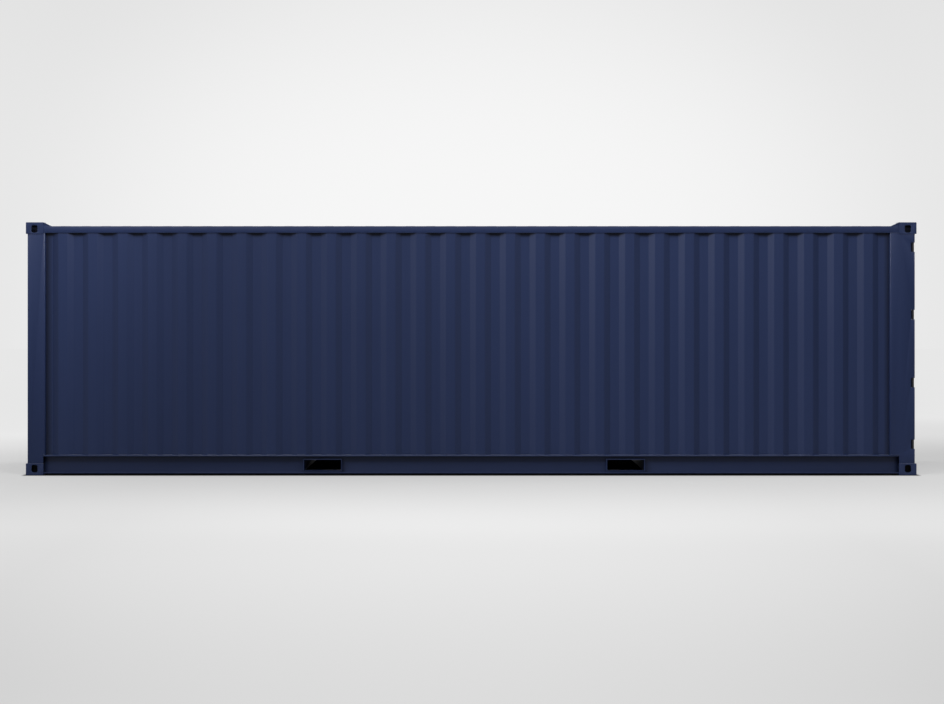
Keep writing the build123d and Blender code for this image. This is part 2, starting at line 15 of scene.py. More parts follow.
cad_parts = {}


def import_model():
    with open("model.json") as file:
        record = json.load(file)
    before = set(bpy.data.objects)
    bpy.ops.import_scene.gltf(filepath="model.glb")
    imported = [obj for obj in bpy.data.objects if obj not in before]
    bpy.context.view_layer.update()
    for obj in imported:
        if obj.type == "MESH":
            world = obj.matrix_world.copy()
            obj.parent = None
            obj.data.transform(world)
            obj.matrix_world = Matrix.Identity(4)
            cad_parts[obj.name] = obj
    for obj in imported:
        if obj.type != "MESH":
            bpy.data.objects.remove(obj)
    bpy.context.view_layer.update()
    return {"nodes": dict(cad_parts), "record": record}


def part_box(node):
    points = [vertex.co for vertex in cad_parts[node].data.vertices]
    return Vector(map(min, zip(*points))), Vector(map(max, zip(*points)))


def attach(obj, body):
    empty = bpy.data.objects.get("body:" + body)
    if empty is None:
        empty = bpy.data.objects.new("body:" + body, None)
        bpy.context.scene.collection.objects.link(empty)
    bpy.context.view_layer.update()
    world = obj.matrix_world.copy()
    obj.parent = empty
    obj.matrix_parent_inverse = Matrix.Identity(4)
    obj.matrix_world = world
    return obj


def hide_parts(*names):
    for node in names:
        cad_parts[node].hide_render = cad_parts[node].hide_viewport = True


LOG = logging.getLogger("container")
Number = Union[int, float]
Colour = tuple[float, float, float]
Place = tuple[float, float, float]

SAME_PLACE = 0.00001
"""Points nearer to each other than this, in metres, are one."""

FLAT_WITHIN = 0.5
"""Faces that meet at a smaller angle than this, in degrees, are one flat."""


class Value:
    """A number that a shader or geometry tree works out, with arithmetic that adds Math nodes."""

    def __init__(self, tree: "Tree", socket: bpy.types.NodeSocket) -> None:
        """Keep the socket and the tree that it belongs to."""
        self.tree = tree
        self.socket = socket

    def math(self, operation: str, *others: "Value | Number", flip: bool = False) -> "Value":
        """Add a Math node.

        Args:
            operation: the node's operation.
            others: the further operands.
            flip: whether this value comes second.

        Returns:
            The result.
        """
        operands = [self, *others]
        if flip:
            operands = [*others, self]
        sockets = dict(enumerate(operands))
        return self.tree.add("ShaderNodeMath", {"operation": operation}, sockets)[0]

    def __add__(self, other: "Value | Number") -> "Value":
        """Sum."""
        return self.math("ADD", other)

    def __radd__(self, other: Number) -> "Value":
        """Sum with a number first."""
        return self.math("ADD", other, flip=True)

    def __sub__(self, other: "Value | Number") -> "Value":
        """Difference."""
        return self.math("SUBTRACT", other)

    def __rsub__(self, other: Number) -> "Value":
        """Difference with a number first."""
        return self.math("SUBTRACT", other, flip=True)

    def __mul__(self, other: "Value | Number") -> "Value":
        """Product."""
        return self.math("MULTIPLY", other)

    def __truediv__(self, other: "Value | Number") -> "Value":
        """Quotient."""
        return self.math("DIVIDE", other)

    def __pow__(self, other: "Value | Number") -> "Value":
        """Power."""
        return self.math("POWER", other)

    def above(self, edge: Number, width: Number) -> "Value":
        """Soft step.

        Args:
            edge: where the step is half way up.
            width: how wide the step is.

        Returns:
            0 below the step, 1 above it.
        """
        low, high = edge - width / 2, edge + width / 2
        settings = {"interpolation_type": "SMOOTHSTEP"}
        sockets = {"Value": self, "From Min": low, "From Max": high}
        return self.tree.add("ShaderNodeMapRange", settings, sockets)[0]

    def clamped(self) -> "Value":
        """Kept between 0 and 1."""
        return self.tree.add("ShaderNodeClamp", {}, {0: self})[0]


class Made:
    """A node that was added to a tree; its outputs are taken by place or name."""

    def __init__(self, tree: "Tree", node: bpy.types.Node) -> None:
        """Keep the node and its tree."""
        self.tree = tree
        self.node = node

    def __getitem__(self, key: "int | str") -> Value:
        """Output by place or name."""
        return Value(self.tree, self.node.outputs[key])


class Tree:
    """A node tree that is filled by one method."""

    def __init__(self, nodes: bpy.types.NodeTree) -> None:
        """Keep the tree of nodes."""
        self.tree = nodes

    def add(
        self,
        kind: str,
        settings: "dict[str, Any] | None" = None,
        sockets: "dict[int | str, Any] | None" = None,
    ) -> Made:
        """Add a node.

        Args:
            kind: the node's type.
            settings: its properties, set first.
            sockets: values or links of its inputs, by place or name.

        Returns:
            The node.
        """
        node = self.tree.nodes.new(kind)
        for name, setting in (settings or {}).items():
            setattr(node, name, setting)
        for key, value in (sockets or {}).items():
            target = node.inputs[key]
            if isinstance(value, Value):
                self.tree.links.new(value.socket, target)
            elif isinstance(value, Made):
                self.tree.links.new(value[0].socket, target)
            elif isinstance(target.default_value, (int, float)) or not isinstance(value, tuple):
                target.default_value = value
            else:
                target.default_value = value + (1.0,) * (len(target.default_value) - len(value))
        return Made(self, node)


class Shader(Tree):
    """The node tree of a material, with the patterns that the finishes share."""

    def __init__(self, name: str) -> None:
        """Make an empty material.

        Args:
            name: what the material is called.
        """
        self.material = bpy.data.materials.new(name)
        self.material.use_nodes = True
        super().__init__(self.material.node_tree)
        self.tree.nodes.clear()
        self.place = self.add("ShaderNodeTexCoord")["Object"]

    def axis(self, name: str) -> Value:
        """One coordinate, X, Y or Z, in metres."""
        return self.add("ShaderNodeSeparateXYZ", {}, {0: self.place})[name]

    def stretched(self, scale: Place) -> Value:
        """Object coordinates scaled along each axis."""
        return self.add("ShaderNodeMapping", {}, {"Vector": self.place, "Scale": scale})[0]

    def noise(self, scale: float, detail: float = 2.0, vector: "Value | None" = None) -> Value:
        """Noise from 0 to 1.

        Args:
            scale: its frequency for each metre.
            detail: octaves.
            vector: coordinates, or the object's own.

        Returns:
            The noise.
        """
        sockets = {"Vector": vector or self.place, "Scale": scale, "Detail": detail}
        return self.add("ShaderNodeTexNoise", {}, sockets)[0]

    def blend(self, mask: "Value | Number", low: Any, high: Any) -> Value:
        """Mix two colours by a mask."""
        sockets = {0: mask, 6: low, 7: high}
        return self.add("ShaderNodeMix", {"data_type": "RGBA"}, sockets)[2]

    def toned(self, colour: Any, tone: Value) -> Value:
        """A colour made brighter or darker."""
        sockets = {0: colour, "Scale": tone}
        return self.add("ShaderNodeVectorMath", {"operation": "SCALE"}, sockets)[0]

    def bump(
        self,
        height: Value,
        distance: float,
        strength: float = 1.0,
        over: "Value | None" = None,
    ) -> Value:
        """Bump from a height.

        Args:
            height: the height, from 0 to 1.
            distance: how high 1 is, in metres.
            strength: its strength.
            over: a normal that it is laid over.

        Returns:
            The normal.
        """
        sockets = {"Height": height, "Distance": distance, "Strength": strength}
        if over:
            sockets["Normal"] = over
        return self.add("ShaderNodeBump", {}, sockets)[0]

    def surface(self, **sockets: Any) -> bpy.types.Material:
        """Close the material with a Principled shader.

        Args:
            sockets: its inputs, with underscores for spaces.

        Returns:
            The material.
        """
        named = {key.replace("_", " "): value for key, value in sockets.items()}
        shader = self.add("ShaderNodeBsdfPrincipled", {}, named)
        self.add("ShaderNodeOutputMaterial", {}, {"Surface": shader})
        return self.material


class FormTree(Tree):
    """A geometry tree with named inputs for its sizes, ending in real geometry with one material."""

    BEAD_WOBBLE = (0.8, 1.15)
    BEAD_SIDES = 6

    def __init__(self, name: str) -> None:
        """Make a tree with an input and an output for geometry.

        Args:
            name: what the tree is called.
        """
        super().__init__(bpy.data.node_groups.new(name, "GeometryNodeTree"))
        self.name = name
        self.sockets: dict[str, str] = {}
        self.tree.interface.new_socket("Geometry", in_out="INPUT", socket_type="NodeSocketGeometry")
        self.tree.interface.new_socket("Geometry", in_out="OUTPUT", socket_type="NodeSocketGeometry")
        self.start = self.add("NodeGroupInput")

    @property
    def given(self) -> Value:
        """The geometry that the object brings."""
        return self.start["Geometry"]

    def size(self, name: str, whole: bool = False) -> Value:
        """Add a named input for a length, or for a whole number.

        Args:
            name: what the input is called.
            whole: whether it is a whole number.

        Returns:
            The input's value.
        """
        kind = "NodeSocketInt" if whole else "NodeSocketFloat"
        socket = self.tree.interface.new_socket(name, in_out="INPUT", socket_type=kind)
        self.sockets[name] = socket.identifier
        return self.start[name]

    def close(self, shape: "Value | Made", material: bpy.types.Material) -> None:
        """End the tree.

        Args:
            shape: the geometry that it has made.
            material: the material of every face.
        """
        real = self.add("GeometryNodeRealizeInstances", {}, {"Geometry": shape})
        dressed = self.add("GeometryNodeSetMaterial", {}, {"Geometry": real, "Material": material})
        self.add("NodeGroupOutput", {}, {"Geometry": dressed})

    def join(self, *shapes: "Value | Made") -> Made:
        """Put several geometries together.

        Args:
            shapes: the geometries.

        Returns:
            All of them as one.
        """
        joined = self.add("GeometryNodeJoinGeometry")
        for shape in shapes:
            source = shape[0] if isinstance(shape, Made) else shape
            self.tree.links.new(source.socket, joined.node.inputs[0])
        return joined

    def circle(self, radius: "Value | Number", sides: int) -> Made:
        """A round outline."""
        sockets = {"Resolution": sides, "Radius": radius}
        return self.add("GeometryNodeCurvePrimitiveCircle", {"mode": "RADIUS"}, sockets)

    def sweep(self, path: "Value | Made", step: Value, radius: Value, seed: int) -> Made:
        """Lay an uneven round bead along a path.

        Args:
            path: the curve that it follows.
            step: the length between its rings.
            radius: its radius.
            seed: the start of its unevenness.

        Returns:
            The bead.
        """
        sockets = {"Curve": path, "Length": step}
        even = self.add("GeometryNodeResampleCurve", {"mode": "LENGTH"}, sockets)
        least, most = self.BEAD_WOBBLE
        sockets = {2: least, 3: most, "Seed": seed}
        wobble = self.add("FunctionNodeRandomValue", {"data_type": "FLOAT"}, sockets)
        sized = self.add("GeometryNodeSetCurveRadius", {}, {"Curve": even, "Radius": wobble[1]})
        ring = self.circle(radius, self.BEAD_SIDES)
        sockets = {"Curve": sized, "Profile Curve": ring, "Fill Caps": True}
        return self.add("GeometryNodeCurveToMesh", {}, sockets)

    def grow(self, seedling: bpy.types.Mesh, sizes: "dict[str, Number]") -> bpy.types.Mesh:
        """Run the tree on a mesh.

        Args:
            seedling: the mesh that goes in.
            sizes: its inputs by name.

        Returns:
            The plain mesh that comes out.
        """
        carrier = new_piece(self.name + "_carrier", seedling)
        modifier = carrier.modifiers.new(self.name, "NODES")
        modifier.node_group = self.tree
        for name, value in sizes.items():
            modifier[self.sockets[name]] = value
        graph = bpy.context.evaluated_depsgraph_get()
        mesh = bpy.data.meshes.new_from_object(carrier.evaluated_get(graph), depsgraph=graph)
        carrier.modifiers.clear()
        bpy.data.objects.remove(carrier)
        return mesh


@dataclass(frozen=True)
class PaintedShade:
    """A sheltered corner with painted shade: the paint is darkened on the surfaces that are set back from a
    face.
    """

    across: str
    start: float
    reach: float
    least: float
    facing: str
    face: float
    depth: float

    def shade(self, shader: Shader) -> Value:
        """How much of the paint's brightness is left.

        Args:
            shader: the paint's tree.

        Returns:
            The least in the corner, and up to 1 away from it.
        """
        away = ((shader.axis(self.across) - self.start) / self.reach).clamped()
        inset = ((self.face - shader.axis(self.facing).math("ABSOLUTE")) / self.depth).clamped()
        return 1.0 - (1.0 - away) * inset * (1.0 - self.least)


@dataclass(frozen=True)
class Hollow:
    """Painted shade inside the corner castings: the paint is darkened there, by distances from the
    container's middle.
    """

    length: float = 4.547
    width: float = 1.2035
    middle: float = 1.2955
    half_height: float = 1.2700
    left: float = 0.22
    rim: float = 0.004

    def shade(self, shader: Shader) -> Value:
        """How much of the paint's brightness is left.

        Args:
            shader: the paint's tree.

        Returns:
            1 outside and little inside.
        """
        inside = (self.length - shader.axis("X").math("ABSOLUTE")).above(0.0, self.rim)
        inside = inside * (self.width - shader.axis("Y").math("ABSOLUTE")).above(0.0, self.rim)
        rise = (shader.axis("Z") - self.middle).math("ABSOLUTE")
        inside = inside * (self.half_height - rise).above(0.0, self.rim)
        return 1.0 - inside * (1.0 - self.left)


@dataclass(frozen=True)
class PaintFinish:
    """Satin container paint on steel. A scale is how often a pattern changes in a metre."""

    name: str
    colour: Colour
    roughness: float = 0.36
    peel: float = 0.00006
    cast: float = 0.0
    # Painted shade: each entry darkens the paint in a corner or recess where shade falls, or inside the
    # castings.
    nooks: "tuple[PaintedShade | Hollow, ...]" = ()
    least_tone: float = 0.90
    drift_scale: float = 0.9
    drift_tone: float = 0.07
    run_stretch: Place = (5.0, 5.0, 0.35)
    run_tone: float = 0.05
    streak_stretch: Place = (60.0, 60.0, 0.3)
    streak_tone: float = 0.08
    smoothest: float = 0.05
    drift_roughness: float = 0.06
    cloud_scale: float = 45.0
    cloud_roughness: float = 0.05
    peel_scale: float = 38.0
    grain_scale: float = 260.0
    cast_scale: float = 420.0
    shine: float = 0.3

    def build(self) -> bpy.types.Material:
        """Make the material.

        Returns:
            The material.
        """
        shader = Shader(self.name)
        drift = shader.noise(self.drift_scale, detail=3.0)
        runs = shader.noise(1.0, detail=4.0, vector=shader.stretched(self.run_stretch))
        streaks = shader.noise(1.0, detail=3.0, vector=shader.stretched(self.streak_stretch))
        tone = self.least_tone + drift * self.drift_tone + runs * self.run_tone + streaks * self.streak_tone
        # Painted shade darkens the paint in corners and recesses.
        for painted_shade in self.nooks:
            tone = tone * painted_shade.shade(shader)
        shade = shader.toned(self.colour, tone)
        clouds = shader.noise(self.cloud_scale)
        rough = self.roughness - self.smoothest + drift * self.drift_roughness + clouds * self.cloud_roughness
        height = shader.noise(self.grain_scale) * 0.5 + shader.noise(self.peel_scale) * 0.5
        normal = shader.bump(height, self.peel, strength=0.6)
        if self.cast:
            pits = shader.noise(self.cast_scale, detail=3.0)
            normal = shader.bump(pits, self.cast, strength=0.8, over=normal)
        return shader.surface(Base_Color=shade, Roughness=rough, Normal=normal, Specular_IOR_Level=self.shine)


@dataclass(frozen=True)
class CoatingFinish:
    """Thick black coating on the base."""

    name: str
    colour: Colour = (0.018, 0.018, 0.02)
    palest: float = 1.9
    lump_scale: float = 60.0
    lump: float = 0.0006
    roughness: float = 0.62
    lump_roughness: float = 0.2
    shine: float = 0.4

    def build(self) -> bpy.types.Material:
        """Make the material.

        Returns:
            The material.
        """
        shader = Shader(self.name)
        lumps = shader.noise(self.lump_scale, detail=4.0)
        rough = self.roughness + lumps * self.lump_roughness
        shade = shader.blend(lumps, self.colour, tuple(c * self.palest for c in self.colour))
        normal = shader.bump(lumps, self.lump)
        return shader.surface(Base_Color=shade, Roughness=rough, Normal=normal, Specular_IOR_Level=self.shine)


@dataclass(frozen=True)
class ZincFinish:
    """Galvanised steel with a faint spangle."""

    name: str
    colour: Colour = (0.46, 0.475, 0.49)
    darkest: float = 0.78
    cell_scale: float = 85.0
    cell_share: float = 0.35
    cloud_scale: float = 9.0
    cloud_share: float = 0.65
    roughness: float = 0.38
    cell_roughness: float = 0.08
    cloud_roughness: float = 0.14
    metal: float = 0.9
    grain_scale: float = 150.0
    grain: float = 0.00015

    def build(self) -> bpy.types.Material:
        """Make the material.

        Returns:
            The material.
        """
        shader = Shader(self.name)
        sockets = {"Vector": shader.place, "Scale": self.cell_scale}
        cells = shader.add("ShaderNodeTexVoronoi", {}, sockets)["Color"]
        spangle = shader.add("ShaderNodeSeparateXYZ", {}, {0: cells})["X"]
        cloud = shader.noise(self.cloud_scale, detail=4.0)
        dark = tuple(c * self.darkest for c in self.colour)
        shade = shader.blend(spangle * self.cell_share + cloud * self.cloud_share, dark, self.colour)
        rough = self.roughness + spangle * self.cell_roughness + cloud * self.cloud_roughness
        normal = shader.bump(shader.noise(self.grain_scale, detail=3.0), self.grain)
        return shader.surface(Base_Color=shade, Roughness=rough, Metallic=self.metal, Normal=normal)


@dataclass(frozen=True)
class RubberFinish:
    """Black seal rubber."""

    name: str
    colour: Colour = (0.012, 0.012, 0.013)
    dust: Colour = (0.03, 0.029, 0.028)
    dust_scale: float = 22.0
    dust_edge: tuple[float, float] = (0.55, 0.3)
    roughness: float = 0.6
    dust_roughness: float = 0.2
    grain_scale: float = 500.0
    grain: float = 0.00005

    def build(self) -> bpy.types.Material:
        """Make the material.

        Returns:
            The material.
        """
        shader = Shader(self.name)
        dust = shader.noise(self.dust_scale, detail=4.0)
        shade = shader.blend(dust.above(*self.dust_edge), self.colour, self.dust)
        rough = self.roughness + dust * self.dust_roughness
        normal = shader.bump(shader.noise(self.grain_scale), self.grain)
        return shader.surface(Base_Color=shade, Roughness=rough, Normal=normal)


@dataclass(frozen=True)
class PlywoodFinish:
    """Reddish tropical plywood with a sealed, lightly worn face. The grain runs along X."""

    name: str
    light: Colour = (0.31, 0.165, 0.083)
    dark: Colour = (0.15, 0.072, 0.035)
    scuffed: Colour = (0.33, 0.24, 0.17)
    grain_scale: float = 3.2
    grain_stretch: Place = (0.35, 9.0, 9.0)
    grain_edge: tuple[float, float] = (0.5, 0.5)
    pore_scale: float = 30.0
    pore_stretch: Place = (0.25, 14.0, 14.0)
    pore_edge: tuple[float, float] = (0.62, 0.12)
    pore_tone: float = 0.5
    pore_share: float = 0.55
    pore_depth: float = 0.0004
    boards_start: float = -4.494
    board_length: float = 2.2196
    least_board_tone: float = 0.82
    board_tone: float = 0.36
    scuff_scale: float = 2.6
    scuff_stretch: Place = (0.6, 2.0, 1.0)
    scuff_edge: tuple[float, float] = (0.62, 0.14)
    scuff_share: float = 0.35
    wear_scale: float = 1.7
    roughness: float = 0.42
    wear_roughness: float = 0.22
    shine: float = 0.4

    def build(self) -> bpy.types.Material:
        """Make the material.

        Returns:
            The material.
        """
        shader = Shader(self.name)
        grain = shader.noise(self.grain_scale, 5.0, shader.stretched(self.grain_stretch))
        pores = shader.noise(self.pore_scale, 3.0, shader.stretched(self.pore_stretch))
        wear = shader.noise(self.wear_scale, 4.0)
        shade = shader.blend(grain.above(*self.grain_edge), self.light, self.dark)
        open_pores = pores.above(*self.pore_edge) * self.pore_share
        shade = shader.blend(open_pores, shade, tuple(c * self.pore_tone for c in self.dark))
        along = ((shader.axis("X") - self.boards_start) / self.board_length).math("FLOOR")
        cell = shader.add("ShaderNodeCombineXYZ", {}, {"X": along, "Y": shader.axis("Y").math("SIGN")})
        lot = shader.add("ShaderNodeTexWhiteNoise", {}, {"Vector": cell})["Value"]
        toned = shader.toned(shade, self.least_board_tone + lot * self.board_tone)
        scuffs = shader.noise(self.scuff_scale, 5.0, shader.stretched(self.scuff_stretch))
        shade = shader.blend(scuffs.above(*self.scuff_edge) * self.scuff_share, toned, self.scuffed)
        rough = self.roughness + wear * self.wear_roughness
        normal = shader.bump(pores, self.pore_depth)
        return shader.surface(Base_Color=shade, Roughness=rough, Normal=normal, Specular_IOR_Level=self.shine)


class Slot(Enum):
    """Finishes by the record's slot."""

    PAINT = "container_paint"
    BASE = "base_coating"
    ZINC = "zinc_steel"
    HINGE = "hinge_steel"
    RUBBER = "seal_rubber"
    PLYWOOD = "floor_plywood"


class Finishes:
    """Every finish, made once."""

    NAVY: Colour = (0.0155, 0.0268, 0.0795)
    HINGE_BLACK: Colour = (0.008, 0.0085, 0.011)
    # Painted shade on the side walls beside the corner posts and in the hollows under the top rail, and a
    # painted shadow of the top rail along the wall's top.
    WALL_PAINTED_SHADES = (
        PaintedShade("X", -4.3665, 0.075, 0.15, "Y", 1.209, 0.036),
        PaintedShade("X", 4.2905, -0.060, 0.30, "Y", 1.209, 0.036),
        PaintedShade("Z", 2.483, -0.050, 0.25, "Y", 1.209, 0.036),
        PaintedShade("Z", 2.483, -0.020, 0.60, "Y", 3.0, 0.1),
    )
    # Painted shade in the bottom rail's channel: darkest under its top lip, darker over the whole web towards
    # its top, and beside the castings.
    RAIL_NOOKS = (
        PaintedShade("Z", 0.2015, -0.030, 0.35, "Y", 1.2085, 0.012),
        PaintedShade("Z", 0.2015, -0.300, 0.66, "Y", 1.2085, 0.012),
        PaintedShade("X", -4.3845, 0.050, 0.40, "Y", 1.2085, 0.012),
        PaintedShade("X", 4.3845, -0.050, 0.40, "Y", 1.2085, 0.012),
    )
    # Painted shade on the front wall beside the corner posts and under the top rail.
    END_NOOKS = (
        PaintedShade("Y", -1.057, 0.060, 0.25, "X", 4.5425, 0.045),
        PaintedShade("Y", 1.057, -0.060, 0.25, "X", 4.5425, 0.045),
        PaintedShade("Z", 2.483, -0.050, 0.25, "X", 4.5425, 0.045),
    )

    def __init__(self) -> None:
        """Build the materials."""
        self.by_slot = {
            Slot.PAINT: PaintFinish("navy_paint", self.NAVY).build(),
            Slot.BASE: CoatingFinish("black_base_coating").build(),
            Slot.ZINC: ZincFinish("zinc_coated_steel").build(),
            Slot.HINGE: CoatingFinish("hinge_steel", self.HINGE_BLACK).build(),
            Slot.RUBBER: RubberFinish("seal_rubber").build(),
            Slot.PLYWOOD: PlywoodFinish("floor_plywood").build(),
        }
        # The castings' copy of the paint is darkened inside the castings: painted shade.
        cast_steel = {"roughness": 0.46, "peel": 0.00008, "cast": 0.0004, "nooks": (Hollow(),)}
        self.castings = PaintFinish("navy_paint_on_castings", self.NAVY, **cast_steel).build()
        # Copies of the navy paint with painted shade in corners, recesses and under the rails.
        self.walls = PaintFinish("navy_paint_on_walls", self.NAVY, nooks=self.WALL_PAINTED_SHADES).build()
        self.rails = PaintFinish("navy_paint_on_rails", self.NAVY, nooks=self.RAIL_NOOKS).build()
        self.end_wall = PaintFinish("navy_paint_on_front_wall", self.NAVY, nooks=self.END_NOOKS).build()

    def dress(
        self,
        piece: bpy.types.Object,
        slot: Slot,
        material: "bpy.types.Material | None" = None,
    ) -> None:
        """Give a piece its only material, the slot's usual one unless another is given.

        Args:
            piece: the piece.
            slot: the record's slot.
            material: its material, where it isn't the slot's usual one.
        """
        piece.data.materials.clear()
        piece.data.materials.append(material or self.by_slot[slot])


def smooth(mesh: bpy.types.Mesh, angle: float) -> None:
    """Smooth a mesh, with sharp edges past an angle in degrees."""
    mesh.shade_smooth()
    mesh.set_sharp_from_angle(angle=math.radians(angle))


def new_piece(name: str, mesh: bpy.types.Mesh) -> bpy.types.Object:
    """Link a mesh as an object at the origin.

    Args:
        name: the piece's name.
        mesh: its mesh.

    Returns:
        The piece.
    """
    piece = bpy.data.objects.new(name, mesh)
    bpy.context.scene.collection.objects.link(piece)
    return piece


def face_outwards(mesh: bpy.types.Mesh) -> None:
    """Turn every face of closed shells outwards.

    Args:
        mesh: the shells.
    """
    work = bmesh.new()
    work.from_mesh(mesh)
    bmesh.ops.recalc_face_normals(work, faces=work.faces)
    work.to_mesh(mesh)
    work.free()


def merged_copy(node: bpy.types.Object) -> bmesh.types.BMesh:
    """A node's mesh with its triangles joined and its flat faces made whole.

    Args:
        node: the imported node.

    Returns:
        The mesh in the making.
    """
    work = bmesh.new()
    work.from_mesh(node.data)
    bmesh.ops.remove_doubles(work, verts=work.verts, dist=SAME_PLACE)
    flat = math.radians(FLAT_WITHIN)
    bmesh.ops.dissolve_limit(work, angle_limit=flat, verts=work.verts, edges=work.edges)
    return work


class Edge(Enum):
    """How a steel part was made, as the width in metres of its rounded edges and its bevel steps."""

    ROLLED = (0.0012, 2)
    FORGED = (0.0025, 3)
    CAST = (0.0030, 3)
    PRESSED = (0.0060, 3)


@dataclass
class Steelwork:
    """The plain steel nodes, with rounded edges."""

    finishes: Finishes
    slots: dict[str, Slot]
    bodies: dict[str, str]
    sharp_from: float = 28.0
    upright_from: float = 75.0
    smooth_to: float = 35.0

    @staticmethod
    def edge_kind(name: str) -> Edge:
        """How a part was made.

        Args:
            name: its node.

        Returns:
            The kind of its edges.
        """
        if name.startswith("corner_casting"):
            return Edge.CAST
        if name.startswith(("lock_rods", "lock_guides", "handles", "door_hinges")):
            return Edge.FORGED
        if name == "roof":
            return Edge.PRESSED
        return Edge.ROLLED

    def dress(self, node: bpy.types.Object) -> bpy.types.Object:
        """Replace a node by a copy with rounded edges.

        Args:
            node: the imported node.

        Returns:
            The new piece.
        """
        kind = self.edge_kind(node.name)
        width, steps = kind.value
        work = merged_copy(node)
        low = math.radians(self.sharp_from)
        high = math.radians(self.upright_from) if kind is Edge.PRESSED else math.pi
        edges = [e for e in work.edges if len(e.link_faces) == 2 and low < e.calc_face_angle(0.0) < high]
        bmesh.ops.bevel(
            work,
            geom=edges,
            offset=width,
            offset_type="OFFSET",
            segments=steps,
            profile=0.5,
            affect="EDGES",
            clamp_overlap=True,
        )
        mesh = bpy.data.meshes.new(node.name + "_edges")
        work.to_mesh(mesh)
        work.free()
        smooth(mesh, self.smooth_to)
        piece = new_piece(node.name + "_steel", mesh)
        # The castings and bottom rails take their copies of the paint with painted shade.
        material = self.finishes.castings if kind is Edge.CAST else None
        if node.name.startswith("bottom_rail"):
            material = self.finishes.rails
        self.finishes.dress(piece, self.slots[node.name], material)
        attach(piece, self.bodies[node.name])
        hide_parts(node.name)
        return piece


class Lie(Enum):
    """Which way a corrugated sheet stands."""

    LEFT = "left side"
    RIGHT = "right side"
    FRONT = "front end"
    DOOR = "door end"


@dataclass(frozen=True)
class Folds:
    """The folds of a corrugated sheet, in metres: its outer flats, and a deep land at each end."""

    flats: int
    flat: float
    slope: float
    depth: float
    first_land: float
    last_land: float


